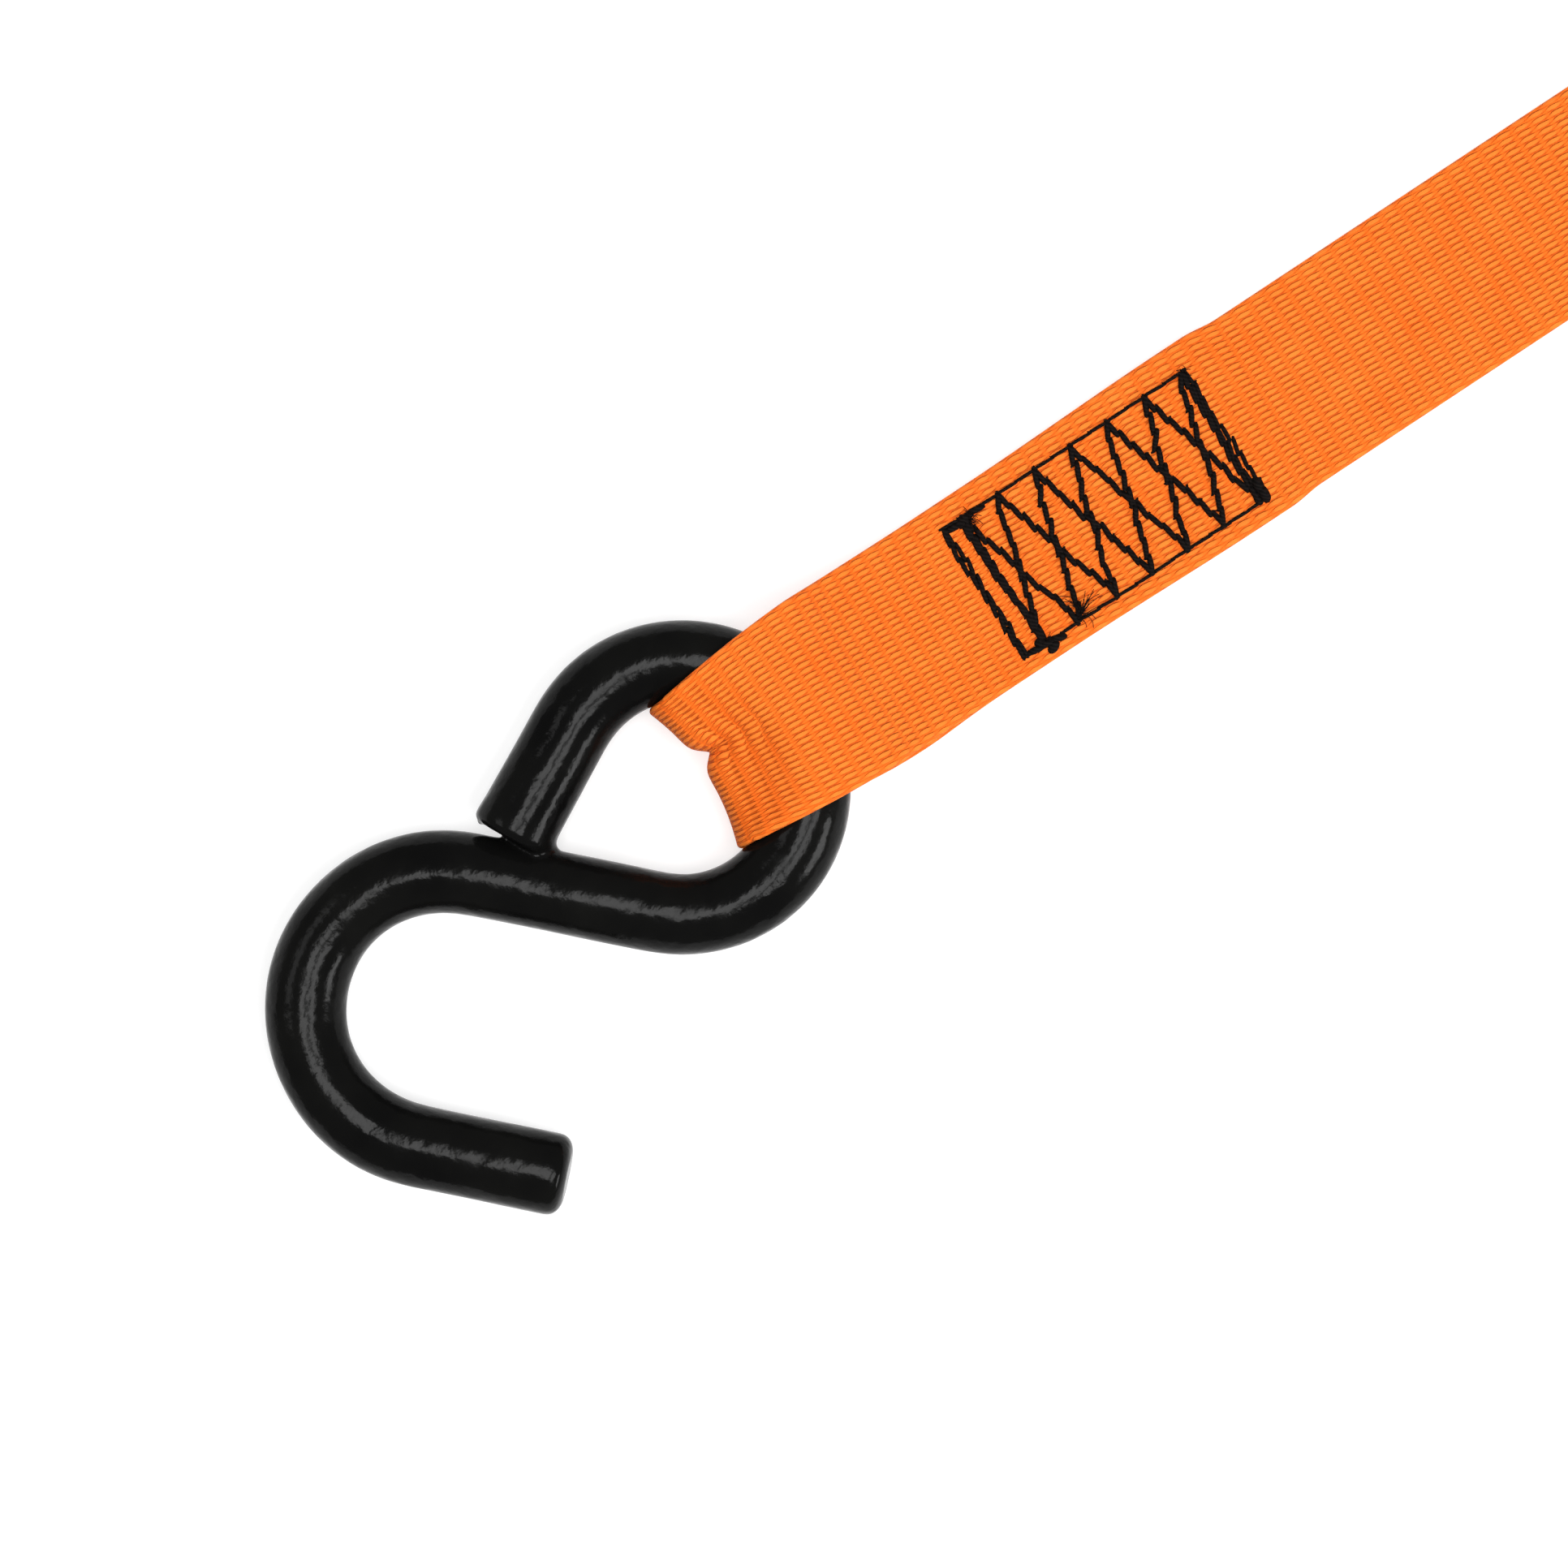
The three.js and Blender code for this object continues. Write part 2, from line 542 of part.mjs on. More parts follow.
// ---- Straps ----
// Side view of the short strap: a ring on the anchor sleeve, two layers that close to a wedge, then the
// flat run down to the ground and along it to the hook's loop.
function shortStrap() {
  const half = STRAP_W / 2;
  const loopR = SLEEVE_R + GAP + STRAP_T;
  const end = EYE_A.x + LOOP_END + NECK_GAP;
  const ground = BOLT.x - CLIMB;
  const meet = BOLT.x - CLOSE;
  const centre = (x) => {
    const t = THREE.MathUtils.clamp((x - ground) / (BOLT.x - ground), 0, 1);
    return STRAP_T + (BOLT.z - STRAP_T) * smooth(t);
  };
  const hookTail = EYE_A.x + TAIL_END;
  const anchorTail = BOLT.x - ANCHOR_TAIL;
  const upper = [];
  const lower = [];
  const thick = (x) => {
    const sewnHook = x < hookTail;
    const sewnAnchor = x > anchorTail;
    const flat = sewnHook || sewnAnchor ? STRAP_T : STRAP_T / 2;
    return x < meet ? flat : THREE.MathUtils.lerp(flat, loopR - 0.2, (x - meet) / (BOLT.x - meet));
  };
  const edge = 0.01; // either side of a cut end
  const steps = [end, hookTail - edge, hookTail + edge];
  for (let x = ground - 10; x < anchorTail - 1; x += 8) steps.push(x);
  steps.push(anchorTail - edge, anchorTail + edge);
  for (let x = BOLT.x - 50; x <= BOLT.x - 2; x += 6) steps.push(x);
  for (const x of steps) {
    const t = thick(x);
    const low = Math.max(centre(x) - STRAP_T, 0);
    const z = t > STRAP_T ? centre(x) : low + t;
    upper.push([x, z + t]);
    lower.unshift([x, z - t]);
  }
  const run = solidOf(plateXZ(polygon([...lower.reverse(), ...upper.reverse()]), -half, half));
  const loop = solidOf(rodY(loopR, -half, half, BOLT.x, BOLT.z, 24));
  return run.add(loop).subtract(solidOf(rodY(SLEEVE_R + GAP, -half - 1, half + 1, BOLT.x, BOLT.z, 24)));
}

// The outer turn on the spool and the run that leaves it under the open handle, down to the ground.
function longStrapLead() {
  const half = STRAP_W / 2;
  const turn = plateXZ(ring(WRAP_R + STRAP_T / 2, WRAP_R - STRAP_T / 2, SPOOL.x, SPOOL.z), -half, half, 12);
  const start = { x: SPOOL.x, z: SPOOL.z - WRAP_R };
  const across = new THREE.Vector3(0, 1, 0);
  const normal = new THREE.Vector3(0, 0, 1);
  const pieces = 8;
  const places = Array.from({ length: pieces + 1 }, (_, i) => start.x + (LANDING * i) / pieces);
  const stations = [...places, TWIST_START].map((x) => {
    const t = Math.min((x - start.x) / LANDING, 1);
    const z = THREE.MathUtils.lerp(start.z, STRAP_T / 2, smooth(t));
    return { middle: new THREE.Vector3(x, 0, z), across, normal };
  });
  return union(turn, ribbon(stations));
}

// A station of webbing that leans over from flat (0) to standing on its edge (1), resting on the ground.
// heading is the way it runs, and lift is how far its lower edge stands off the ground.
function leaning(x, y, heading, share, lift) {
  const angle = (share * Math.PI) / 2;
  const side = new THREE.Vector3(-Math.sin(heading), Math.cos(heading), 0);
  const up = new THREE.Vector3(0, 0, 1);
  const across = side.clone().multiplyScalar(Math.cos(angle)).addScaledVector(up, Math.sin(angle));
  const normal = side.clone().multiplyScalar(-Math.sin(angle)).addScaledVector(up, Math.cos(angle));
  const z = (STRAP_W / 2) * Math.sin(angle) + (STRAP_T / 2) * Math.cos(angle) + lift;
  return { middle: new THREE.Vector3(x, y, z), across, normal };
}

function longStrapTwist() {
  const n = 12;
  const start = TWIST_START + GAP;
  return ribbon(Array.from({ length: n + 1 }, (_, i) => {
    const share = smooth(i / n);
    return leaning(THREE.MathUtils.lerp(start, TWIST_END, i / n), 0, 0, share, COIL.lift * share);
  }));
}

// From the coil's outside: a bend away from the ratchet, a straight, a bend back, then down flat to hook b.
function longStrapHookRun() {
  const stations = [];
  let x = COIL.x - 11.5;
  let y = COIL.y - COIL.r + STRAP_T / 2;
  let heading = Math.PI;
  const step = (length, turn, share) => {
    heading += turn / 2;
    x += length * Math.cos(heading);
    y += length * Math.sin(heading);
    heading += turn / 2;
    stations.push(leaning(x, y, heading, share, COIL.lift * share));
  };
  stations.push(leaning(x, y, heading, 1, COIL.lift));
  const bendSteps = 6;
  const bendStep = SWING_TURN / bendSteps;
  for (let i = 0; i < bendSteps; i++) step(SWING_R * bendStep, bendStep, 1);
  const fall = y - EYE_B.y - SWING_R * (1 - Math.cos(SWING_TURN));
  for (let i = 0; i < 2; i++) step(fall / Math.sin(SWING_TURN) / 2, 0, 1);
  for (let i = 0; i < bendSteps; i++) step(SWING_R * bendStep, -bendStep, 1);
  const flatAt = EYE_B.x + TAIL_END + 4;
  const length = x - flatAt;
  const twistSteps = 10;
  for (let i = 1; i <= twistSteps; i++) step(length / twistSteps, 0, smooth(1 - i / twistSteps));
  step(x - (EYE_B.x + LOOP_END + NECK_GAP), 0, 0);
  const half = STRAP_W / 2;
  const upper = box(EYE_B.x + LOOP_END + NECK_GAP, EYE_B.x + TAIL_END, EYE_B.y - half, EYE_B.y + half,
    STRAP_T - 0.05, 2 * STRAP_T);
  return union(ribbon(stations), upper);
}

function longStrapCoil() {
  return plateXY(ring(COIL.r, COIL.hole, COIL.x, COIL.y), COIL.lift, COIL.lift + STRAP_W, 16);
}

// An elastic band round the coil's turns, through its middle.
function coilTie() {
  const thick = 1.2;
  const half = 5;
  const r0 = Math.sqrt(COIL.hole ** 2 - half ** 2) - GAP - thick;
  const r1 = COIL.r + GAP + thick;
  const top = COIL.lift + STRAP_W + GAP + thick;
  const outer = box(r0, r1, -half, half, COIL.lift - GAP - thick, top);
  const inner = box(r0 + thick, r1 - thick, -half - 1, half + 1, COIL.lift - GAP, top - thick);
  return solidOf(outer).subtract(solidOf(inner));
}

// ---- Assembly ----
addHook("a", "short_strap_hook_loop", EYE_A);
add("short_strap_webbing", shortStrap(), webbing);
const sewnTop = 2 * STRAP_T + GAP + THREAD_T / 2;
add("hook_a_stitching", stitching(EYE_A.x + STITCH_START, STITCH_LENGTH, STITCH_WIDTH, sewnTop), thread);

add("ratchet_frame", ratchetFrame(), steel);
add("anchor_bolt", anchorBolt(), darkSteel);
add("anchor_nut", anchorNut(), darkSteel);
add("anchor_sleeve", anchorSleeve(), darkSteel);

add("spool_half_upper", spoolHalf(1), darkSteel);
add("spool_half_lower", spoolHalf(-1), darkSteel);
for (const [word, side] of [["left", 1], ["right", -1]]) {
  const span = (a, b) => (side > 0 ? [a, b] : [-b, -a]);
  add(`ratchet_wheel_${word}`, plateXZ(wheelShape(), ...span(WHEEL_IN, WHEEL_IN + PLATE), 10), steel);
  const washer = ring(WASHER_R, MANDREL_R + GAP, SPOOL.x, SPOOL.z);
  add(`spool_washer_${word}`, plateXZ(washer, ...span(WASHER_IN, WASHER_OUT), 8), steel);
  add(`cotter_pin_${word}`, cotterPin(side * PIN_Y), darkSteel);
}
add("strap_on_spool", strapOnSpool(), webbing);

add("lock_pawl", lockPawl(), steel);
add("lock_pawl_spring", spring(LOCK_TAB, SPOOL.x + LOCK_REAR, LOCK_Z, 7), darkSteel);

add("handle_frame", handleFrame(), steel);
add("handle_grip", handleGrip(), rubber);
add("drive_pawl", drivePawl(), steel);
const driveSpringEnds = [SPOOL.x + DRIVE_REAR, SPOOL.x + DRIVE_TAB];
add("drive_pawl_spring", spring(...driveSpringEnds, SPOOL.z + DRIVE_Z, 9), darkSteel);

add("long_strap_lead", longStrapLead(), webbing);
add("long_strap_twist", longStrapTwist(), webbing);
add("long_strap_coil", longStrapCoil(), webbing);
const tie = add("coil_tie", coilTie(), rubber);
tie.position.set(COIL.x, COIL.y, 0);
tie.rotation.z = THREE.MathUtils.degToRad(60);
add("long_strap_hook_run", longStrapHookRun(), webbing);
const seamB = stitching(EYE_B.x + STITCH_START, STITCH_LENGTH, STITCH_WIDTH, sewnTop, EYE_B.y);
add("hook_b_stitching", seamB, thread);
addHook("b", "long_strap_hook_loop", EYE_B);

export default group;
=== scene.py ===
import json
import math

import bmesh
import bpy
import numpy as np
from mathutils import Matrix, Vector


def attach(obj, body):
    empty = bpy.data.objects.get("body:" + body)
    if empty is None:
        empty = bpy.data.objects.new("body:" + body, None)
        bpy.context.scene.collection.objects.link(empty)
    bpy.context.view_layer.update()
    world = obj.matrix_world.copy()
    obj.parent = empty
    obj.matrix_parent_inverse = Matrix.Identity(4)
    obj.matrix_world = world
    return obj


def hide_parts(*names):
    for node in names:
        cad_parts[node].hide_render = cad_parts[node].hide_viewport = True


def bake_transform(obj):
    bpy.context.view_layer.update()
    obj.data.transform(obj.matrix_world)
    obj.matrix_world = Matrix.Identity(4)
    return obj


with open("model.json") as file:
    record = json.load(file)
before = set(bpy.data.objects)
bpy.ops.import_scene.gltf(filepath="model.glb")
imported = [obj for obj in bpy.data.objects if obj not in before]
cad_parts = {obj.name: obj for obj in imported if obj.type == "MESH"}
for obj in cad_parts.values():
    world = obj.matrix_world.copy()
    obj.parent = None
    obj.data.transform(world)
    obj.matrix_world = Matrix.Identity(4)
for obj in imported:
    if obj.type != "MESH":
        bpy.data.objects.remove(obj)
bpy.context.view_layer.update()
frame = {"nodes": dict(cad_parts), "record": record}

MM = 0.001
TAU = 2 * math.pi
rng = np.random.default_rng(7)

# ---- Sizes, as in the CAD ----
STRAP_W = 25.4
STRAP_T = 1.3
SELVEDGE = 0.7  # the rounded edge of the webbing
COAT_R = 5.3
EYE_R = 16.4
MOUTH_R = 17.9
SHANK = 24.5
EYE_END = math.radians(118)
RETURN_ARM = 16.3
FREE_ARM = 20
HOOK_Z = 7.3
HOOK_TILT = math.radians(1.4)
EYE_A = Vector((-249.4, 0, HOOK_Z))
EYE_B = Vector((9.6, -52, HOOK_Z))
TAIL_END = 87
SPOOL = Vector((33, 0, 20))
BOLT = Vector((-33, 0, 11))
SLEEVE_R = 4.8
WRAP_R = 11.9
COIL = Vector((210, 32.85, 0))
COIL_R = 32.85
COIL_INNER = 13.4
COIL_PITCH = 1.45
COIL_LIFT = 1.7
TWIST_START = 146
TWIST_END = 194
SWING_R = 25
SWING_TURN = math.pi / 3

# ---- Camera: straight down, with the strap rising to the upper right ----
STRAP_ANGLE = math.radians(33.45)
VIEW_WIDTH = 203.4
VIEW_CENTRE = Vector((-238.3, -6.8, 2.6))
LENS = 100
SENSOR = 36

camera_data = bpy.data.cameras.new("camera")
camera_data.lens = LENS
camera_data.sensor_width = SENSOR
camera_data.clip_start = 0.01
camera = bpy.data.objects.new("camera", camera_data)
camera.location = (VIEW_CENTRE + Vector((0, 0, VIEW_WIDTH * LENS / SENSOR))) * MM
camera.rotation_euler = (0, 0, -STRAP_ANGLE)
bpy.context.scene.collection.objects.link(camera)
bpy.context.scene.camera = camera


# ---- Node helpers ----
class Nodes:
    """Builds one material's node tree."""

    def __init__(self, name):
        self.material = bpy.data.materials.new(name)
        self.material.use_nodes = True
        self.tree = self.material.node_tree
        self.shader = self.tree.nodes["Principled BSDF"]

    def put(self, kind, **settings):
        node = self.tree.nodes.new(kind)
        for key, value in settings.items():
            setattr(node, key, value)
        return node

    def link(self, out, socket):
        self.tree.links.new(out, socket)

    def math(self, operation, a, b=0.0, c=0.0):
        node = self.put("ShaderNodeMath", operation=operation)
        for socket, value in zip(node.inputs, (a, b, c)):
            if hasattr(value, "links"):
                self.link(value, socket)
            else:
                socket.default_value = value
        return node.outputs[0]

    def noise(self, scale, detail, vector=None):
        node = self.put("ShaderNodeTexNoise")
        node.inputs["Scale"].default_value = scale
        node.inputs["Detail"].default_value = detail
        if vector is None:
            vector = self.put("ShaderNodeTexCoord").outputs["Object"]
        self.link(vector, node.inputs["Vector"])
        return node.outputs["Fac"]

    def ramp(self, factor, *stops):
        node = self.put("ShaderNodeValToRGB")
        ramp = node.color_ramp
        while len(ramp.elements) < len(stops):
            ramp.elements.new(0.5)
        for element, (place, colour) in zip(ramp.elements, stops):
            element.position = place
            element.color = (*colour, 1)
        self.link(factor, node.inputs["Fac"])
        return node.outputs["Color"]

    def mix(self, factor, a, b):
        node = self.put("ShaderNodeMix", data_type="RGBA")
        for name, value in (("Factor", factor), ("A", a), ("B", b)):
            socket = next(s for s in node.inputs if s.name == name and s.enabled)
            if hasattr(value, "links"):
                self.link(value, socket)
            else:
                socket.default_value = value if name == "Factor" else (*value, 1)
        return next(s for s in node.outputs if s.enabled)

    def range(self, value, low, high, to_low=0.0, to_high=1.0):
        node = self.put("ShaderNodeMapRange", interpolation_type="SMOOTHSTEP")
        self.link(value, node.inputs["Value"])
        node.inputs["From Min"].default_value = low
        node.inputs["From Max"].default_value = high
        node.inputs["To Min"].default_value = to_low
        node.inputs["To Max"].default_value = to_high
        return node.outputs["Result"]

    def bump(self, height, distance, strength, normal=None):
        node = self.put("ShaderNodeBump")
        node.inputs["Strength"].default_value = strength
        node.inputs["Distance"].default_value = distance
        self.link(height, node.inputs["Height"])
        if normal is not None:
            self.link(normal, node.inputs["Normal"])
        return node.outputs["Normal"]

    def set(self, **values):
        for name, value in values.items():
            socket = self.shader.inputs[name.replace("_", " ")]
            if hasattr(value, "links"):
                self.link(value, socket)
            else:
                socket.default_value = value


# ---- Materials ----
ORANGE = (0.94, 0.13, 0.006)
# The lighter orange is painted highlight on the raised middles of the yarn floats, and also random
# mottling.
ORANGE_LIT_FLOAT_AND_MOTTLE = (1.0, 0.23, 0.027)
# The deep orange is painted shade in the pits where the yarns meet.
ORANGE_PIT_SHADE = (0.56, 0.045, 0.002)
RIB = 2.56  # one row of the weave along the strap
YARN = 0.826  # one warp yarn across it


def webbing_material():
    """Ribbed weave from the UV map, which holds millimetres along and across the strap."""
    n = Nodes("webbing")
    uv = n.put("ShaderNodeUVMap", uv_map="strap").outputs["UV"]
    wobble = n.noise(0.03, 2.0, uv)
    split = n.put("ShaderNodeSeparateXYZ")
    n.link(uv, split.inputs[0])
    along = n.math("MULTIPLY_ADD", wobble, 1.2, split.outputs["X"])
    across = split.outputs["Y"]
    rows = n.math("DIVIDE", along, RIB)
    row = n.math("COSINE", n.math("MULTIPLY", rows, math.pi))
    tilt = n.math("SINE", n.math("MULTIPLY", rows, TAU))
    yarns = n.math("MULTIPLY_ADD", tilt, -0.045, n.math("DIVIDE", across, YARN))
    yarn = n.math("COSINE", n.math("MULTIPLY", yarns, TAU))
    meeting = n.math("ABSOLUTE", n.math("MULTIPLY_ADD", yarn, 0.85, row))
    middle = n.math("ABSOLUTE", row)
    body = n.range(n.math("ABSOLUTE", across), 10.9, 11.9, 1.0, 0.0)
    uneven = n.range(n.noise(0.9, 1.0, uv), 0.35, 0.6, 0.6, 1.0)
    gap = n.math("MULTIPLY", n.range(meeting, 0.02, 0.42, 1.0, 0.0), n.range(middle, 0.15, 0.9))
    pit = n.math("MULTIPLY", gap, n.math("MULTIPLY", body, uneven))
    fine = n.noise(9.0, 3.0, uv)
    broad = n.noise(0.16, 2.0, uv)
    float_height = n.math("MULTIPLY", n.range(meeting, 0.0, 0.9), n.range(middle, -0.4, 0.95))
    mottled = n.math("MULTIPLY_ADD", fine, 0.3, n.math("MULTIPLY", broad, 0.35))
    # Painted shading: each yarn float is drawn lighter along its raised middle and darker towards its
    # ends, on top of random mottling.
    tone = n.math("MULTIPLY_ADD", float_height, 0.4, mottled)
    cloth = n.ramp(tone, (0.22, ORANGE), (0.8, ORANGE_LIT_FLOAT_AND_MOTTLE))
    # The pits where the yarns meet are mixed towards the deep orange: painted shade in these recesses.
    n.set(Base_Color=n.mix(n.math("MULTIPLY", pit, 0.62), cloth, ORANGE_PIT_SHADE))
    height = n.math("MULTIPLY_ADD", float_height, 1.0, n.math("MULTIPLY", pit, -0.4))
    weave = n.bump(height, 0.0003, 0.85)
    n.set(Roughness=0.75, Normal=n.bump(fine, 0.00008, 0.35, weave))
    n.set(Specular_IOR_Level=0.14, Sheen_Weight=0.06, Sheen_Roughness=0.45, Sheen_Tint=(1.0, 0.5, 0.2, 1))
    return n.material


def vinyl_material():
    """Glossy dipped vinyl with faint runs and dust-fine scuffs."""
    n = Nodes("vinyl")
    broad = n.noise(90.0, 3.0)
    fine = n.noise(900.0, 4.0)
    scuff = n.range(n.noise(260.0, 6.0), 0.55, 0.7)
    n.set(Base_Color=n.ramp(broad, (0.3, (0.003, 0.003, 0.003)), (0.75, (0.006, 0.006, 0.0055))))
    rough = n.math("MULTIPLY_ADD", scuff, 0.1, n.math("MULTIPLY_ADD", broad, 0.08, 0.12))
    n.set(Roughness=rough, IOR=1.17)
    runs = n.bump(n.noise(330.0, 4.0), 0.0005, 0.3, n.bump(broad, 0.0012, 0.4))
    n.set(Normal=n.bump(fine, 0.00002, 0.4, runs))
    return n.material


def thread_material():
    """Twisted black polyester thread."""
    n = Nodes("thread")
    wave = n.put("ShaderNodeTexWave", bands_direction="DIAGONAL")
    wave.inputs["Scale"].default_value = 900
    n.link(n.put("ShaderNodeTexCoord").outputs["Object"], wave.inputs["Vector"])
    # The lighter warm tone on the crest of each ply is painted highlight, and the darker tone between the
    # plies is painted shade; the bump uses the same waves.
    dark, light = (0.002, 0.0014, 0.0012), (0.008, 0.0055, 0.005)
    n.set(Base_Color=n.ramp(wave.outputs["Fac"], (0.2, dark), (0.9, light)))
    n.set(Roughness=0.8, Specular_IOR_Level=0.1)
    n.set(Normal=n.bump(wave.outputs["Fac"], 0.00006, 0.5))
    return n.material


def steel_material(name, light, dark, roughness, hollow_shade):
    """Plated or plain steel: cloudy plating, brushed lines, small scratches and painted shade that
    darkens its hollows.
    """
    n = Nodes(name)
    place = n.put("ShaderNodeTexCoord").outputs["Object"]
    stretch = n.put("ShaderNodeMapping")
    stretch.inputs["Scale"].default_value = (0.15, 1.0, 1.0)
    n.link(place, stretch.inputs["Vector"])
    lines = n.noise(1500.0, 3.0, stretch.outputs["Vector"])
    clouds = n.noise(60.0, 4.0)
    scratches = n.range(n.noise(520.0, 8.0, stretch.outputs["Vector"]), 0.6, 0.68)
    tone = n.math("MULTIPLY_ADD", lines, 0.35, n.math("MULTIPLY", clouds, 0.65))
    plating = n.ramp(tone, (0.3, dark), (0.7, light))
    # Painted shade: the hollows, found by their pointiness, are darkened towards a third of the dark
    # plating colour.
    pointy = n.put("ShaderNodeNewGeometry").outputs["Pointiness"]
    hollow = n.range(pointy, 0.4, 0.5, 1.0, 0.0)
    n.set(Base_Color=n.mix(n.math("MULTIPLY", hollow, hollow_shade), plating, tuple(c * 0.35 for c in dark)))
    cloudy = n.math("MULTIPLY_ADD", clouds, 0.16, roughness)
    n.set(Roughness=n.math("MULTIPLY_ADD", scratches, 0.18, cloudy))
    n.set(Metallic=1.0, Normal=n.bump(lines, 0.00003, 0.25))
    return n.material


def rubber_material():
    """Moulded black rubber with a fine grain."""
    n = Nodes("rubber")
    grain = n.noise(1800.0, 3.0)
    broad = n.noise(70.0, 3.0)
    n.set(Base_Color=n.ramp(broad, (0.3, (0.012, 0.012, 0.013)), (0.75, (0.026, 0.026, 0.027))))
    n.set(Roughness=n.math("MULTIPLY_ADD", broad, 0.18, 0.52), Specular_IOR_Level=0.4)
    n.set(Normal=n.bump(grain, 0.00004, 0.5))
    return n.material


def band_material():
    """Napped black elastic, with ribs along the band."""
    n = Nodes("band")
    nap = n.noise(2600.0, 4.0)
    ribs = n.noise(400.0, 2.0)
    n.set(Base_Color=n.ramp(ribs, (0.3, (0.009, 0.009, 0.01)), (0.75, (0.03, 0.03, 0.032))))
    n.set(Roughness=0.85, Sheen_Weight=0.4, Sheen_Roughness=0.4, Normal=n.bump(nap, 0.0001, 0.7))
    return n.material


def floor_material():
    """A softly lit white sheet with the faintest grain."""
    n = Nodes("floor")
    n.set(Base_Color=n.ramp(n.noise(40.0, 2.0), (0.2, (0.46, 0.46, 0.46)), (0.8, (0.5, 0.5, 0.5))))
    n.set(Roughness=0.9, Specular_IOR_Level=0.1, Emission_Color=(1, 1, 1, 1), Emission_Strength=0.62)
    return n.material


WEBBING = webbing_material()
VINYL = vinyl_material()
THREAD = thread_material()
# The last number of each steel is how strongly painted shade darkens its hollows.
ZINC = steel_material("zinc", (0.78, 0.79, 0.8), (0.56, 0.57, 0.59), 0.24, 0.6)
STEEL = steel_material("steel", (0.55, 0.55, 0.56), (0.36, 0.36, 0.37), 0.34, 0.7)
RUBBER = rubber_material()
BAND = band_material()


# ---- Mesh helpers ----
def shade(mesh, smooth=True):
    mesh.polygons.foreach_set("use_smooth", [smooth] * len(mesh.polygons))


def make_object(name, mesh, material, smooth=True):
    if material.name not in mesh.materials:
        mesh.materials.append(material)
    shade(mesh, smooth)
    made = bpy.data.objects.new(name, mesh)
    bpy.context.scene.collection.objects.link(made)
    return made


def mesh_of(name, points, faces):
    """A mesh from points in millimetres."""
    mesh = bpy.data.meshes.new(name)
    mesh.from_pydata([tuple(p) for p in np.asarray(points, float) * MM], [], faces)
    mesh.update()
    return mesh


def unit(v):
    return v / np.maximum(np.linalg.norm(v, axis=-1, keepdims=True), 1e-12)


def travel(path):
    """Distance along a path, at each of its points."""
    return np.concatenate([[0], np.cumsum(np.linalg.norm(np.diff(path, axis=0), axis=1))])


def webbing(name, surface, across):
    """Webbing round a middle surface: surface[i, j] is i along the strap, at the place across[j]."""
    rows, columns = surface.shape[:2]
    along = unit(np.gradient(surface, axis=0))
    side = unit(np.gradient(surface, axis=1))
    normal = unit(np.cross(along, side))
    inset = np.clip((np.abs(across) - (STRAP_W / 2 - SELVEDGE)) / SELVEDGE, 0, 1)
    half = STRAP_T / 2 * np.sqrt(1 - inset**2)
    lift = normal * half[None, :, None]
    ring = np.concatenate([surface + lift, (surface - lift)[:, -2:0:-1]], axis=1)
    place = np.concatenate([across, across[-2:0:-1]])
    size = ring.shape[1]
    middle = surface[:, columns // 2]
    length = travel(middle)
    faces = []
    for i in range(rows - 1):
        faces += ring_faces(i * size, size, turned=True)
    # The cut ends: quads between the top and bottom rows.
    for i in (0, rows - 1):
        for j in range(columns - 1):
            top = i * size + j
            low, low_next = (size - j) % size + i * size, size - j - 1 + i * size
            quad = [top, top + 1, low_next, low]
            quad = [p for n, p in enumerate(quad) if p not in quad[:n]]
            faces.append(tuple(quad if i == 0 else quad[::-1]))
    mesh = mesh_of(name, ring.reshape(-1, 3), faces)
    layer = mesh.uv_layers.new(name="strap")
    corner = np.zeros(len(mesh.loops), np.int32)
    mesh.loops.foreach_get("vertex_index", corner)
    uv = np.stack([length[corner // size], place[corner % size]], axis=1)
    layer.data.foreach_set("uv", uv.ravel().astype(np.float32))
    made = make_object(name, mesh, WEBBING)
    return made, float(length[-1])


def across_places(count):
    """Places across the strap, closer together at its rounded edges."""
    inner = np.linspace(-(STRAP_W / 2 - SELVEDGE), STRAP_W / 2 - SELVEDGE, count)
    edge = STRAP_W / 2 - SELVEDGE + SELVEDGE * np.sin(np.linspace(0, math.pi / 2, 5))[1:]
    return np.concatenate([-edge[::-1], inner, edge])


def resample(points, step):
    """Evenly spaced points on a smooth curve through the given ones."""
    p = np.asarray(points, float)
    ends = np.vstack([2 * p[0] - p[1], p, 2 * p[-1] - p[-2]])
    fine = []
    for a, b, c, d in zip(ends, ends[1:], ends[2:], ends[3:]):
        for t in np.linspace(0, 1, 24, endpoint=False):
            linear = (c - a) * t
            square = (2 * a - 5 * b + 4 * c - d) * t**2
            cube = (3 * b - a - 3 * c + d) * t**3
            fine.append(0.5 * (2 * b + linear + square + cube))
    fine.append(p[-1])
    fine = np.array(fine)
    length = travel(fine)
    even = np.linspace(0, length[-1], max(2, round(length[-1] / step) + 1))
    return np.stack([np.interp(even, length, fine[:, k]) for k in range(fine.shape[1])], axis=1)


def ring_faces(start, size, turned=False):
    """Faces between a ring of points and the next one."""
    faces = []
    for j in range(size):
        k = (j + 1) % size
        near, far = (start + j, start + k), (start + size + j, start + size + k)
        faces.append((near[0], *far, near[1]) if turned else (*near, far[1], far[0]))
    return faces


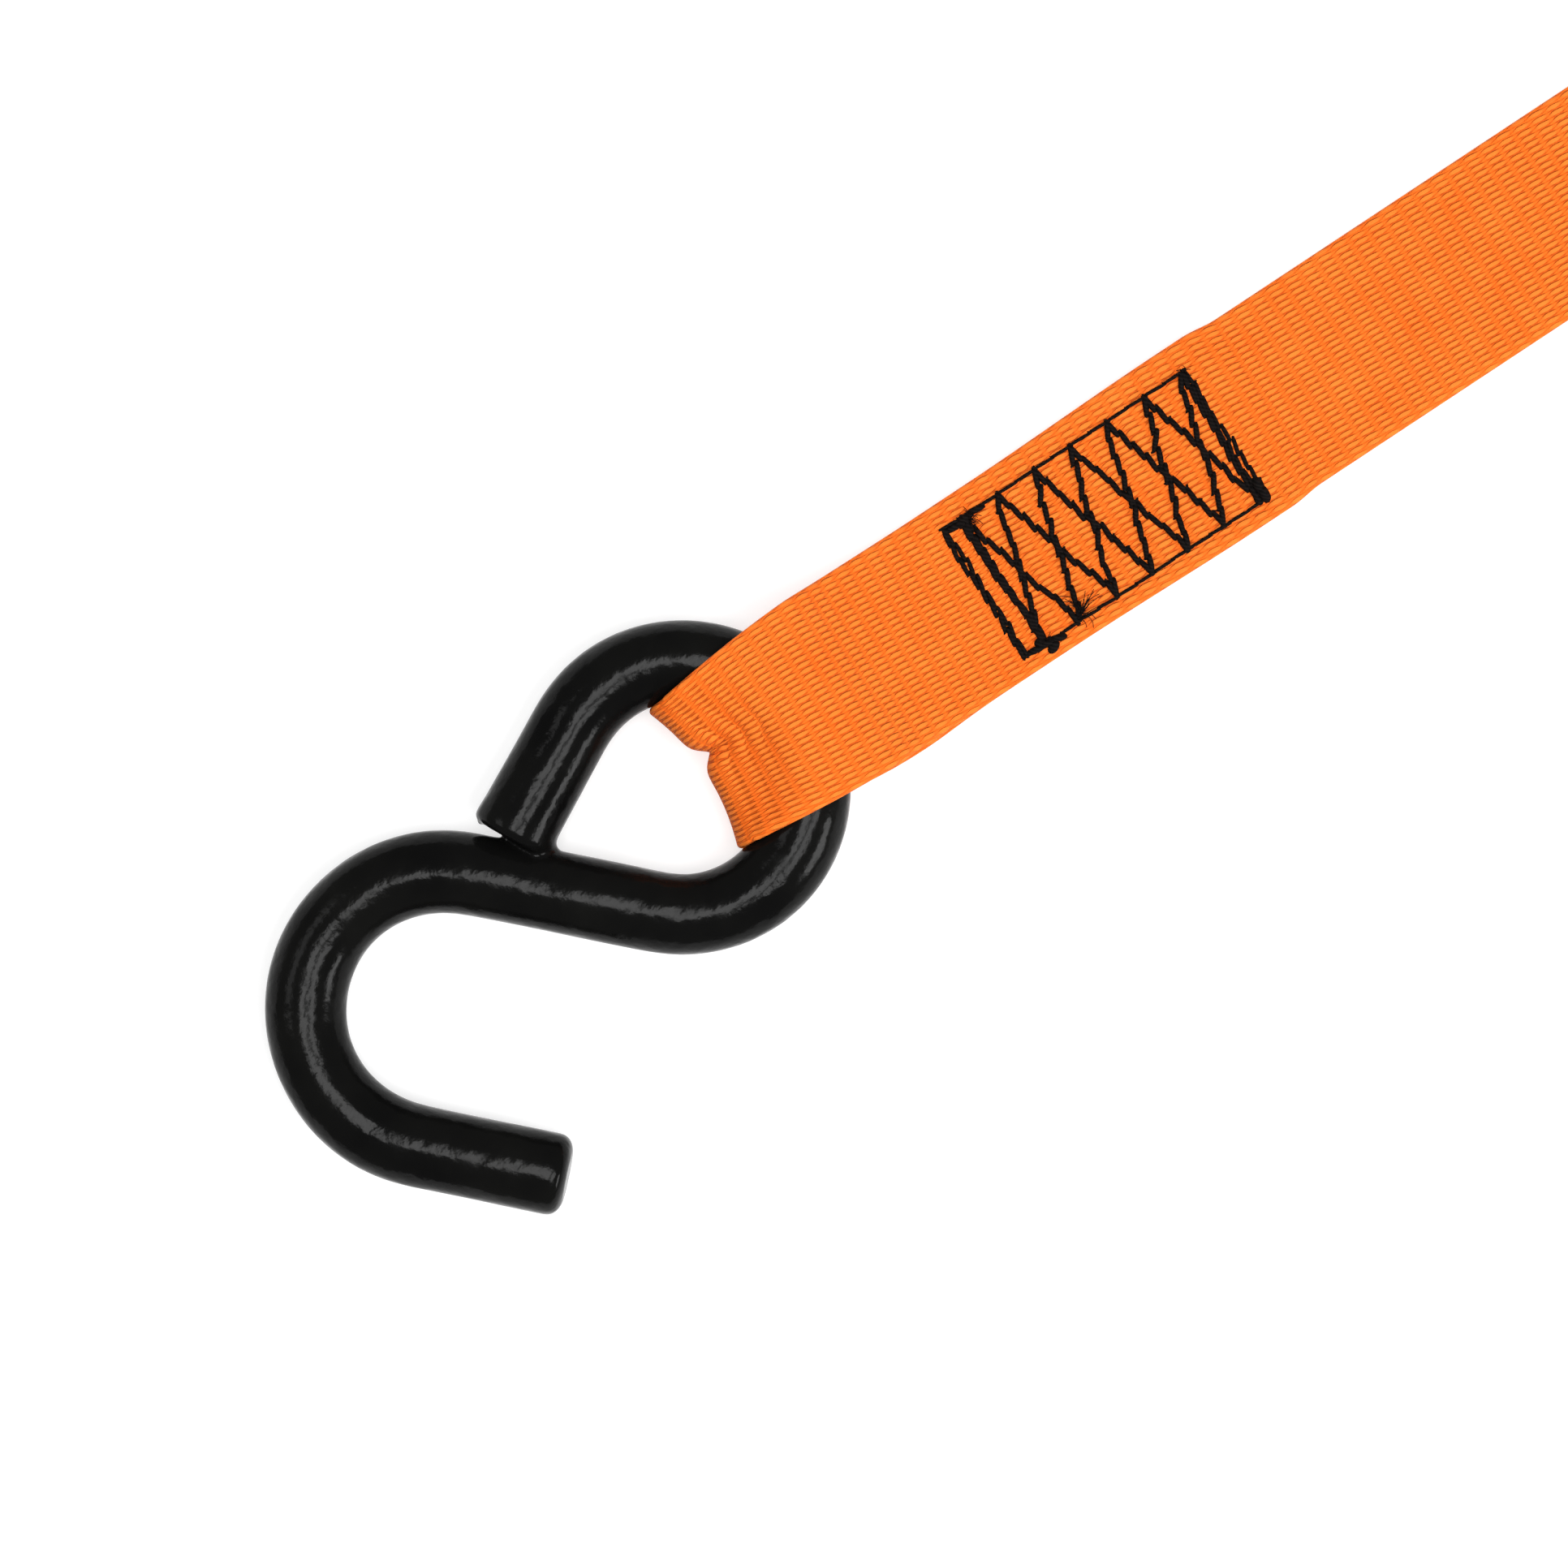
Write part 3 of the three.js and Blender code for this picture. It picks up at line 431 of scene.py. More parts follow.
def tube(path, radii, sides):
    """Points and faces of a tube with closed ends along a path, with a radius for each point."""
    path = np.asarray(path, float)
    radii = np.broadcast_to(np.asarray(radii, float), len(path))
    along = unit(np.gradient(path, axis=0))
    first = np.cross(along[0], (0, 0, 1))
    if np.linalg.norm(first) < 1e-6:
        first = np.cross(along[0], (1, 0, 0))
    side = first / np.linalg.norm(first)
    points = []
    for p, t, r in zip(path, along, radii):
        side = side - t * (side @ t)
        side = side / np.linalg.norm(side)
        other = np.cross(t, side)
        turn = np.arange(sides) * TAU / sides
        points.append(p + r * (np.cos(turn)[:, None] * side + np.sin(turn)[:, None] * other))
    points = np.concatenate(points)
    faces = []
    for i in range(len(path) - 1):
        faces += ring_faces(i * sides, sides)
    last = (len(path) - 1) * sides
    faces.append(tuple(range(sides))[::-1])
    faces.append(tuple(last + j for j in range(sides)))
    return points, faces


def joined(parts):
    """Several (points, faces) pairs as one."""
    points = []
    faces = []
    start = 0
    for p, f in parts:
        points.append(p)
        faces += [tuple(start + i for i in face) for face in f]
        start += len(p)
    return np.concatenate(points), faces


# ---- S-hooks ----
SHANK_HEADING = -math.pi / 4
PATH_STEP = 0.5
BEND_PASSES = 14  # how softly the rod's bends start
ARM_RISE = 0.9  # the eye's end lies this much higher than its bend
TIP_RIM = 1.9  # the rounding of the free tip
EYE_RIM = 0.6  # and of the eye's end
VOXEL = 0.36
RELAX_PASSES = 14


def arc(centre, radius, start, end, step):
    count = max(2, round(abs(end - start) * radius / step))
    turn = np.linspace(start, end, count, endpoint=False)
    return [(centre[0] + radius * math.cos(a), centre[1] + radius * math.sin(a), 0) for a in turn]


def line(start, end, step):
    count = max(2, round(math.dist(start, end) / step))
    share = np.linspace(0, 1, count, endpoint=False)
    return [(*np.array(start) + (np.array(end) - start) * t, 0) for t in share]


def hook_path(step):
    """The rod's centre line from the free tip round the mouth, along the shank and round the eye."""
    turn = SHANK_HEADING - math.pi / 2
    along = np.array([math.cos(SHANK_HEADING), math.sin(SHANK_HEADING)])
    radial = np.array([math.cos(turn), math.sin(turn)])
    eye_start = EYE_R * radial
    shank_top = eye_start - SHANK * along
    mouth = shank_top + MOUTH_R * radial
    free = mouth + MOUTH_R * radial
    arm = EYE_R * np.array([math.cos(EYE_END), math.sin(EYE_END)])
    out = np.array([-math.sin(EYE_END), math.cos(EYE_END)])
    points = line(free + FREE_ARM * along, free, step)
    points += arc(mouth, MOUTH_R, turn, turn - math.pi, step)
    points += line(shank_top, eye_start, step)
    points += arc((0, 0), EYE_R, turn, EYE_END, step)
    points += line(arm, arm + RETURN_ARM * out, step)
    points.append((*(arm + RETURN_ARM * out), 0))
    return np.array(points)


def eased(path, passes):
    """The path with the sudden starts of its bends eased, as in a bent rod. Its ends stay."""
    for _ in range(passes):
        path[1:-1] = 0.5 * path[1:-1] + 0.25 * (path[:-2] + path[2:])
    return path


def blob(centre, radii, turn):
    """An ellipsoid turned about Z."""
    ball = bmesh.new()
    bmesh.ops.create_icosphere(ball, subdivisions=4, radius=1)
    place = Matrix.Translation(centre) @ Matrix.Rotation(turn, 4, "Z") @ Matrix.Diagonal((*radii, 1))
    bmesh.ops.transform(ball, matrix=place, verts=ball.verts)
    points = np.array([v.co[:] for v in ball.verts])
    faces = [tuple(v.index for v in f.verts) for f in ball.faces]
    ball.free()
    return points, faces


def apply_modifiers(made):
    depsgraph = bpy.context.evaluated_depsgraph_get()
    mesh = bpy.data.meshes.new_from_object(made.evaluated_get(depsgraph))
    old = made.data
    made.modifiers.clear()
    made.data = mesh
    mesh.name = made.name
    bpy.data.meshes.remove(old)


def smooth_step(t):
    t = min(max(t, 0), 1)
    return t * t * (3 - 2 * t)


def from_far_end(path):
    length = travel(path)
    return length[-1] - length


def rounding(distance, rim):
    """How much thinner the rod is at a distance from an end whose edge is rounded by rim."""
    close = np.clip((rim - distance) / rim, 0, 1)
    return rim - rim * np.sqrt(np.clip(1 - close**2, 0, 1))


def vinyl_hook(letter, eye):
    """The dipped coat: a rod with a blunt tip, melted to itself where the eye's end meets the shank."""
    path = eased(hook_path(PATH_STEP), BEND_PASSES)
    rise_over = RETURN_ARM - 4
    rise = [smooth_step((rise_over - d) / rise_over) for d in from_far_end(path)]
    path[:, 2] += ARM_RISE * np.array(rise)
    from_tip = travel(path)
    from_eye_end = from_far_end(path)
    radii = COAT_R - rounding(from_tip, TIP_RIM) - rounding(from_eye_end, EYE_RIM)
    # Slow swells where the vinyl ran, and a lip where it gathered at the eye's cut end.
    radii = radii + 0.05 * np.sin(from_tip / 9.0) + 0.04 * np.sin(from_tip / 3.7 + 1.1)
    radii = radii + 0.12 * np.exp(-(((from_eye_end - 1.4) / 1.2) ** 2))
    # Vinyl bridges the corner where the arm's end meets the shank, and hangs as a lip on the far corner.
    bridge = blob((-19.6, 4.0, 0), (2.4, 1.4, 3.6), SHANK_HEADING)
    lip = blob((-23.7, 10.9, 0.6), (1.0, 0.5, 1.9), EYE_END + math.pi / 2)
    points, faces = joined([tube(path, radii, 40), bridge, lip])
    made = make_object(f"vinyl_hook_{letter}", mesh_of("vinyl", points, faces), VINYL)
    remesh = made.modifiers.new("remesh", "REMESH")
    remesh.mode = "VOXEL"
    remesh.voxel_size = VOXEL * MM
    relax = made.modifiers.new("relax", "SMOOTH")
    relax.factor = 0.5
    relax.iterations = RELAX_PASSES
    apply_modifiers(made)
    shade(made.data)
    tilt = Matrix.Rotation(-HOOK_TILT, 4, "Y")
    drop = Vector((0, 0, EYE_R * math.sin(HOOK_TILT)))
    made.data.transform(Matrix.Translation((eye - drop) * MM) @ tilt)
    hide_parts(f"hook_{letter}_coating")
    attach(made, f"hook_{letter}")


vinyl_hook("a", EYE_A)
vinyl_hook("b", EYE_B)


# ---- The webbing's fold round a hook's eye, in the eye's frame with its height above the ground ----
FOLD_X = 4.2  # the fold's inner edge, from the eye's centre
FOLD_END = 46
LYING_Z = 0.66  # middle of a layer that lies on the ground
CREASE = 1.9  # depth of the crease between its two lobes
CREASE_Y = 2.2
PINCH = 0.85  # the fold's width, as a share of the strap's


def fold_profile(y):
    """Side view (x, z) of the fold at a place across: from the upper layer over the rod to the lower."""
    rod_x = math.sqrt(EYE_R**2 - min(abs(y), 13) ** 2)
    lobe = 1.8 * (y / 12) ** 2
    crease = CREASE * math.exp(-(((y - CREASE_Y) / 1.7) ** 2))
    inner = FOLD_X - lobe + crease
    top = HOOK_Z + COAT_R + 0.15 + STRAP_T / 2
    flat = STRAP_T * 1.5 + 0.05
    sag = 0.9 * math.exp(-((y / 9) ** 2))
    return [
        (FOLD_END, flat), (42, flat + 0.25), (36, flat + 2.3), (29, flat + 5.6), (23.5, top - 1.7),
        (rod_x + 2.6, top - 0.05), (rod_x - 1.5, top + 0.02),
        (rod_x - 6.0 + 0.25 * lobe, top - 1.0 - sag),
        (inner + 1.6, HOOK_Z + 3.6 - sag), (inner, HOOK_Z + 0.4), (inner + 0.5, HOOK_Z - 2.6),
        (inner + 3.0, 2.6), (inner + 8, 1.1), (25, 0.68), (34, LYING_Z), (FOLD_END, LYING_Z),
    ]


def narrowing(x):
    """How far the strap's width is pinched at a distance from the eye's centre."""
    share = min(max((24 - x) / (24 - FOLD_X), 0), 1)
    return 1 - (1 - PINCH) * (0.4 * share + 0.6 * share**2)


FOLD_OUT = 24  # where the upper layer's part of the fold starts, from the eye's centre
FOLD_BACK = 24  # where the lower layer is flat again
FOLD_ROWS = (50, 60, 60, 40)  # of the mesh, between these places and the bend


def eased_marks(start, end, usual, count):
    """Places from start to end whose unevenness is gathered near the end."""
    t = np.linspace(0, 1, count, endpoint=False)
    return start + t * usual + (end - start - usual) * t**3


RIDGE = 2.6  # between the fold's small ridges, which follow its inner edge
RIDGE_DEPTH = 0.5


def ridged(from_edge):
    """How far the upper layer dips in the valleys between the fold's ridges."""
    valleys = [0.62**k * np.exp(-(((from_edge - RIDGE * (k + 1)) / 0.75) ** 2)) for k in range(3)]
    return RIDGE_DEPTH * sum(valleys)


def sewn_end(across):
    """The fold's middle surface. Away from its bend the rows of the weave stay square to the strap."""
    sides = [resample(fold_profile(y), 0.25) for y in across]
    marks = []
    for side in sides:
        turn = np.argmin(side[:, 0])
        back = turn + np.argmax(side[turn:, 0] > FOLD_BACK)
        marks.append((0, np.argmax(side[:, 0] < FOLD_OUT), turn, back, len(side) - 1))
    usual = np.diff(np.mean(marks, axis=0))
    window = len(across) // 7 | 1
    inner = np.pad([side[:, 0].min() for side in sides], window // 2, mode="edge")
    ridge_edge = np.convolve(inner, np.ones(window) / window, "valid")
    grid = np.zeros((sum(FOLD_ROWS), len(across), 3))
    for j, (y, side, (first, out, turn, back, last)) in enumerate(zip(across, sides, marks)):
        upper = np.linspace(first, out, FOLD_ROWS[0], endpoint=False)
        over = eased_marks(out, turn, usual[1], FOLD_ROWS[1])
        under = eased_marks(back, turn, -usual[2], FOLD_ROWS[2] + 1)[:0:-1]
        share = np.concatenate([upper, over, under, np.linspace(back, last, FOLD_ROWS[3])])
        grid[:, j, 0] = np.interp(share, np.arange(len(side)), side[:, 0])
        grid[:, j, 2] = np.interp(share, np.arange(len(side)), side[:, 1])
        lower = np.arange(len(share)) > FOLD_ROWS[0] + FOLD_ROWS[1]
        grid[:, j, 2] -= ridged(grid[:, j, 0] - ridge_edge[j]) * ~lower
        peek = 0.45 * np.exp(-(((grid[:, j, 0] - 29) / 7) ** 2)) * lower
        grid[:, j, 1] = [y * narrowing(x) for x in grid[:, j, 0]] - peek
    return grid


def flat_stretch(across, xs, z_of, y_of):
    grid = np.zeros((len(xs), len(across), 3))
    for i, x in enumerate(xs):
        for j, y in enumerate(across):
            grid[i, j] = (x, y_of(x, y), z_of(x, y))
    return grid


def spread_width(x):
    """The upper layer spreads a little where it lies over the tail, and pulls in sharply past its end."""
    return 1 + 0.034 * smooth_step((x - 52) / 30) * (1 - smooth_step((x - (TAIL_END - 1)) / 5))


# ---- The seam: a box, bars at both ends and a double zigzag. Lengths are from the eye's centre ----
BOX_START = 46.2
BOX_LENGTH = 37.6
BOX_HALF = 9.85
BOX_OFFSET = -0.5
ZIGZAG_STEP = 5.65
ZIGZAG_LEGS = 6
BAR_IN = 3.0
SEWN_Z = STRAP_T * 2 + 0.08


def seam_distance(x, y):
    """Distance to the nearest zigzag or edge line of the seam."""
    if not BOX_START - 2 < x < BOX_START + BOX_LENGTH + 2:
        return 9.0
    wave = (x - BOX_START - BAR_IN) / ZIGZAG_STEP
    fold = abs((wave % 2) - 1)
    steep = math.hypot(1, 2 * BOX_HALF / ZIGZAG_STEP)
    zigzag = BOX_HALF * (2 * fold - 1)
    inside = y - BOX_OFFSET
    near = min(abs(inside - zigzag), abs(inside + zigzag)) / steep if 0 <= wave <= ZIGZAG_LEGS else 9.0
    return min(near, abs(abs(inside) - BOX_HALF) + 0.3, abs(x - BOX_START) + 0.3)


def upper_height(x, y):
    """Middle of the upper layer: on the lower one up to its cut end, then down to the ground."""
    down = smooth_step((x - (TAIL_END + 0.6)) / 4.5)
    sewn = math.exp(-(((x - 65) / 20) ** 6)) * math.exp(-((y / 11) ** 6))
    pucker = 0.08 * math.sin(1.11 * x + 0.7 * y) * math.sin(0.55 * x - 0.9 * y) + 0.05 * math.sin(2.3 * y)
    pulled = 0.3 * math.exp(-((seam_distance(x, y) / 0.75) ** 2))
    return STRAP_T * (1.5 - down) + 0.05 + sewn * pucker - pulled


def sewn_surface(across, far):
    """Middle surface of a sewn end, from far along the upper layer, round the fold, to the tail's end."""
    upper_rows = np.arange(far, FOLD_END, -0.5)
    upper = flat_stretch(across, upper_rows, upper_height, lambda x, y: y * spread_width(x))
    fold = sewn_end(across)
    tail_rows = np.arange(FOLD_END + 0.5, TAIL_END + 0.01, 0.5)
    tail = flat_stretch(across, tail_rows, lambda x, y: LYING_Z, lambda x, y: y)
    return np.concatenate([upper, fold, tail])


# ---- The short strap ----
ACROSS = across_places(49)
ANCHOR = BOLT.x - EYE_A.x  # the anchor bolt, from the eye's centre
ANCHOR_TAIL = 58  # the sewn-back end's length, from the bolt
CLIMB = 66  # the strap's rise to the bolt is this long


def anchor_height(x):
    """Height between the two layers that rise to the anchor bolt."""
    return STRAP_T + (BOLT.z - STRAP_T) * smooth_step((x - ANCHOR + CLIMB) / CLIMB)


def short_strap():
    """From the loop on the anchor sleeve, along the flat run, to the sewn fold round its hook."""
    end = ANCHOR
    centre = anchor_height
    loop_r = SLEEVE_R + 0.35 + STRAP_T / 2
    meet = end - 14
    tail_start = end - ANCHOR_TAIL
    side = [(tail_start, centre(tail_start) + STRAP_T / 2 + 0.03)]
    side += [(x, centre(x) + STRAP_T / 2 + 0.03) for x in np.arange(tail_start + 6, meet, 6)]
    turn = np.radians(np.arange(125, -126, -12.5))
    side += [(end + loop_r * math.cos(a), BOLT.z + loop_r * math.sin(a)) for a in turn]
    lower = np.arange(meet, tail_start, -6)
    side += [(x, centre(x) - STRAP_T / 2 - 0.03) for x in lower]
    side += [(tail_start - 3, 1.0), (tail_start - 9, 0.68), (tail_start - 16, LYING_Z)]
    loop = resample(side, 0.8)
    anchor = np.zeros((len(loop), len(ACROSS), 3))
    anchor[:, :, 0] = loop[:, 0, None]
    anchor[:, :, 1] = ACROSS
    anchor[:, :, 2] = loop[:, 1, None]
    first = tail_start - 17
    surface = np.concatenate([anchor, sewn_surface(ACROSS, first)])
    surface = surface + np.array([EYE_A.x, 0, 0])
    made, length = webbing("short_strap", surface, ACROSS)
    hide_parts("short_strap_webbing", "short_strap_hook_loop")
    bend(made)


def bend(piece):
    """Bakes the piece's placement into its mesh."""
    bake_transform(piece)


short_strap()


# ---- Stitching ----
def stitches(start, end, radius, pitch, wander):
    """A row of slanted stitches between needle holes, each with a barb at its hole."""
    start = np.array(start, float)
    end = np.array(end, float)
    count = max(1, round(np.linalg.norm(end - start) / pitch))
    ahead = (end - start) / np.linalg.norm(end - start)
    side = np.array([-ahead[1], ahead[0]])
    places = np.linspace(0, 1, count + 1)
    holes = [start + (end - start) * t + side * rng.normal(0, wander * 0.5) for t in places]
    parts = []
    for a, b in zip(holes, holes[1:]):
        slant = side * wander * rng.uniform(0.3, 1.0)
        a = a + slant - ahead * 0.15
        b = b - slant + ahead * 0.15
        path = []
        for t in np.linspace(0, 1, 8):
            arch = math.sin(math.pi * t)
            path.append((*(a + (b - a) * t), SEWN_Z + radius * (0.75 * arch**0.5 - 0.6)))
        swell = radius * (0.8 + 0.2 * np.sin(np.linspace(0, math.pi, 8)))
        parts.append(tube(path, swell, 7))
        reach = side * radius * rng.uniform(0.5, 1.2) + ahead * radius * rng.normal(0, 0.4)
        barb = [(*(a + reach * t), SEWN_Z - radius * 0.1) for t in (-0.3, 0.3, 1.0)]
        parts.append(tube(barb, np.array([0.6, 0.55, 0.2]) * radius, 6))
    return parts


def loose_end(x, y, count, spread, lean, fan):
    """A tuft of frayed filaments that mostly point along lean."""
    parts = []
    for _ in range(count):
        heading = rng.normal(lean, fan)
        reach = rng.uniform(0.5, 1.0) * spread
        curl = rng.normal(0, 0.8)
        path = []
        for t in np.linspace(0, 1, 7):
            a = heading + curl * t
            height = SEWN_Z + 0.1 + 0.5 * math.sin(2.4 * t)
            path.append((x + reach * t * math.cos(a), y + reach * t * math.sin(a), height))
        parts.append(tube(path, np.linspace(0.07, 0.04, 7), 4))
    return parts


def sewn_pattern():
    """The stitches' points and faces, in the eye's frame."""
    x0, x1 = BOX_START, BOX_START + BOX_LENGTH
    y0, y1 = BOX_OFFSET - BOX_HALF, BOX_OFFSET + BOX_HALF
    bar = x0 + BAR_IN
    parts = stitches((x0, y0), (x0, y1), 0.34, 2.2, 0.3)
    parts += stitches((x0 + 0.5, y0), (x0 + 0.5, y1), 0.3, 2.6, 0.3)
    for offset in (-0.2, 0.0, 0.2):
        parts += stitches((bar + offset + 0.3, y0 + 0.4), (bar + offset - 0.2, y1 - 0.9), 0.38, 2.1, 0.25)
    for offset in (-1.3, -0.5, 0.3):
        parts += stitches((x1 + offset * 0.3, y1), (x1 + offset, y0 + 0.2), 0.31, 2.1, 0.34)
    parts += stitches((x1 - 0.1, y0 + 2.6), (x1 + 0.1, y0), 0.75, 1.3, 0.1)
    for y in (y0, y1):
        parts += stitches((x0, y), (x1, y), 0.24, 2.9, 0.1)
    for first in (1, -1):
        for i in range(ZIGZAG_LEGS):
            side = first if i % 2 == 0 else -first
            a = (bar + ZIGZAG_STEP * i, BOX_OFFSET + side * BOX_HALF)
            b = (bar + ZIGZAG_STEP * (i + 1), BOX_OFFSET - side * BOX_HALF)
            parts += stitches(a, b, 0.4, 2.35, 0.34)
    parts += stitches((x0 + 0.8, y1 - 0.5), (bar + 3.2, y1 - 0.1), 0.45, 1.7, 0.3)
    parts += stitches((x0 + 1.0, y0 + 0.1), (bar + 2.8, y0 - 0.4), 0.5, 1.6, 0.3)
    parts += loose_end(bar + 5.6, y0 + 0.4, 18, 4.4, 0.4, 0.3)
    parts += loose_end(bar + 5.4, y0 + 0.3, 7, 1.6, 0.0, 0.9)
    parts += loose_end(bar + 0.6, y1 - 0.8, 18, 2.0, -0.4, 0.9)
    parts += loose_end(bar + 0.4, y0 + 0.4, 10, 1.3, 0.5, 1.5)
    parts += loose_end(x1, y1 - 0.2, 8, 1.2, 0.0, 3.0)
    parts.append(blob((bar + 0.9, y0 - 0.9, SEWN_Z), (1.0, 0.65, 0.45), 0.4))
    parts.append(blob((bar - 0.2, y0 + 0.4, SEWN_Z), (0.9, 0.8, 0.4), -0.5))
    parts.append(blob((bar + 0.3, y1 - 0.6, SEWN_Z), (1.3, 0.6, 0.35), 0.3))
    return joined(parts)


def sewn_threads(name, eye, body, node):
    points, faces = sewn_pattern()
    points = points + np.array([eye.x, eye.y, 0])
    made = make_object(name, mesh_of(name, points, faces), THREAD)
    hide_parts(node)
    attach(made, body)


ANCHOR_SEAM = 250  # the turned pattern's place, so that it lies on the anchor end's two layers


def anchor_threads():
    """The same seam at the strap's ratchet end, turned half round and laid on the rising layers."""
    points, faces = sewn_pattern()
    points[:, 0] = ANCHOR_SEAM - points[:, 0]
    points[:, 1] = -points[:, 1]
    points[:, 2] += [anchor_height(x) + STRAP_T + 0.08 - SEWN_Z for x in points[:, 0]]
    points = points + np.array([EYE_A.x, 0, 0])
    made = make_object("threads_anchor", mesh_of("threads_anchor", points, faces), THREAD)
    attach(made, "short_strap")


sewn_threads("threads_a", EYE_A, "short_strap", "hook_a_stitching")
anchor_threads()
sewn_threads("threads_b", EYE_B, "frame", "hook_b_stitching")


# ---- The long strap ----
LONG_ACROSS = across_places(9)
LANDING = 48  # from the spool's axis to where the strap reaches the ground


def leaning(x, y, heading, share, lift):
    """A station of webbing from flat (0) to on its edge (1), resting on the ground: middle and across."""
    angle = share * math.pi / 2
    side = np.array([-math.sin(heading), math.cos(heading), 0])
    across = side * math.cos(angle) + np.array([0, 0, 1]) * math.sin(angle)
    z = STRAP_W / 2 * abs(math.sin(angle)) + STRAP_T / 2 * math.cos(angle) + lift
    return np.array([x, y, z + 0.02]), across


def spread(stations, across):
    middles = np.array([m for m, _ in stations])
    sides = np.array([a for _, a in stations])
    return middles[:, None, :] + sides[:, None, :] * across[None, :, None]


def coil_strand(radius, turns, step):
    """One of the coil's two strands, from its outside at the near edge, inwards."""
    count = round(turns * TAU / step)
    stations = []
    for turn in np.linspace(0, turns * TAU, count + 1):
        r = radius - 2 * COIL_PITCH * turn / TAU
        a = turn - math.pi / 2
        middle = np.array([COIL.x + r * math.cos(a), COIL.y + r * math.sin(a), COIL_LIFT + STRAP_W / 2])
        stations.append((middle, np.array([0.0, 0.0, 1.0])))
    return stations


def spool_spiral():
    """Side view of the turns that leave the static strap at the ground side: clockwise, inwards."""
    turn = np.radians(np.arange(270, -70, -6))
    radii = np.linspace(WRAP_R, WRAP_R - 0.35, len(turn))
    return [(SPOOL.x + r * math.cos(a), SPOOL.z + r * math.sin(a)) for r, a in zip(radii, turn)]


def long_strap():
    """From the spool's outer turn down to the ground, round the coil and back towards the second hook."""
    stations = []
    flat = np.array([0.0, 1.0, 0.0])
    side = spool_spiral()[:0:-1]
    for x in np.arange(SPOOL.x, TWIST_START + 1, 4):
        t = smooth_step((x - SPOOL.x) / LANDING)
        side.append((x, (SPOOL.z - WRAP_R) * (1 - t) + (STRAP_T / 2 + 0.02) * t))
    for x, z in resample(side, 1.0):
        stations.append((np.array([x, 0, z]), flat))
    for t in np.linspace(0, 1, 40)[1:]:
        share = smooth_step(t)
        x = side[-1][0] + (TWIST_END - side[-1][0]) * t
        stations.append(leaning(x, 0, 0, share, COIL_LIFT * share))
    for x in np.arange(TWIST_END + 2, COIL.x - 0.5, 2):
        stations.append(leaning(x, 0, 0, 1, COIL_LIFT))
    turn_count = (COIL_R - COIL_INNER) / (2 * COIL_PITCH)
    inward = coil_strand(COIL_R, turn_count, math.radians(5))
    outward = coil_strand(COIL_R + COIL_PITCH, turn_count, math.radians(5))[::-1]
    # The fold in the middle of the coil joins the two strands.
    a, b = inward[-1][0], outward[0][0]
    heading = unit(inward[-1][0] - inward[-2][0])
    fold = [((a + b) / 2 + (a - b) / 2 * math.cos(t) + heading * 1.3 * math.sin(t), inward[-1][1])
            for t in np.linspace(0, math.pi, 9)[1:-1]]
    stations += inward + fold + outward
    stations += hook_run()
    surface = spread(stations, LONG_ACROSS)
    made, length = webbing("long_strap", surface, LONG_ACROSS)
    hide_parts("long_strap_lead", "long_strap_twist", "long_strap_coil")
    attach(made, "frame")


def hook_run():
    """From the coil's outside towards the second hook, standing on edge, then lying down flat."""
    stations = []
    x = COIL.x
    y = COIL.y - COIL_R - COIL_PITCH
    heading = math.pi
    step = 1.5
    while x > COIL.x - 11.5:
        x -= step
        stations.append(leaning(x, y, heading, 1, COIL_LIFT))
    run = [(SWING_TURN, SWING_R * SWING_TURN)]
    fall = y - EYE_B.y - 2 * SWING_R * (1 - math.cos(SWING_TURN))
    run.append((0, fall / math.sin(SWING_TURN)))
    run.append((-SWING_TURN, SWING_R * SWING_TURN))
    for turn, length in run:
        count = max(2, round(length / step))
        for _ in range(count):
            heading += turn / count
            x += length / count * math.cos(heading)
            y += length / count * math.sin(heading)
            stations.append(leaning(x, y, heading, 1, COIL_LIFT))
    return stations


def lying_down(start, flat_at):
    """The stretch that turns from standing on its edge to lying flat, heading towards the hook."""
    stations = []
    for t in np.linspace(0, 1, 60):
        share = 1 - smooth_step(t)
        x = start + (flat_at - start) * t
        stations.append(leaning(x, EYE_B.y, 0, -share, COIL_LIFT * share))
    return stations


def second_hook_strap():
    """From where the run heads for the hook: down flat, and the sewn fold."""
    flat_at = EYE_B.x + TAIL_END + 10
    down = spread(lying_down(hook_run()[-1][0][0], flat_at), LONG_ACROSS)
    sewn = sewn_surface(LONG_ACROSS, TAIL_END + 9.5) + np.array([EYE_B.x, EYE_B.y, 0])
    made, length = webbing("second_hook_strap", np.concatenate([down, sewn]), LONG_ACROSS)
    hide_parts("long_strap_hook_run", "long_strap_hook_loop")
    bend(made)


long_strap()
second_hook_strap()


def spool_turns():
    """The inner turns, with the tail that goes through the spool's slot."""
    side = [(-7.6, 0), (-3, 0), (3, 0), (6.6, 0), (8.4, 0.4)]
    turn = np.radians(np.arange(-14, 358, 8))
    radii = np.linspace(9.1, 10.25, len(turn))
    side += [(r * math.cos(a), r * math.sin(a)) for r, a in zip(radii, turn)]
    points = resample(side, 0.7)
    stations = [(np.array([SPOOL.x + x, 0, SPOOL.z + z]), np.array([0.0, 1.0, 0.0])) for x, z in points]
    made, length = webbing("spool_turns", spread(stations, LONG_ACROSS), LONG_ACROSS)
    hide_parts("strap_on_spool")
    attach(made, "spool")


spool_turns()


# ---- Metal parts: the CAD shapes with their edges broken ----
def body_of(node):
    return next(b for b, members in frame["record"]["behaviour"]["bodies"].items() if node in members)


SHARP = 32  # degrees between two faces whose edge is rounded


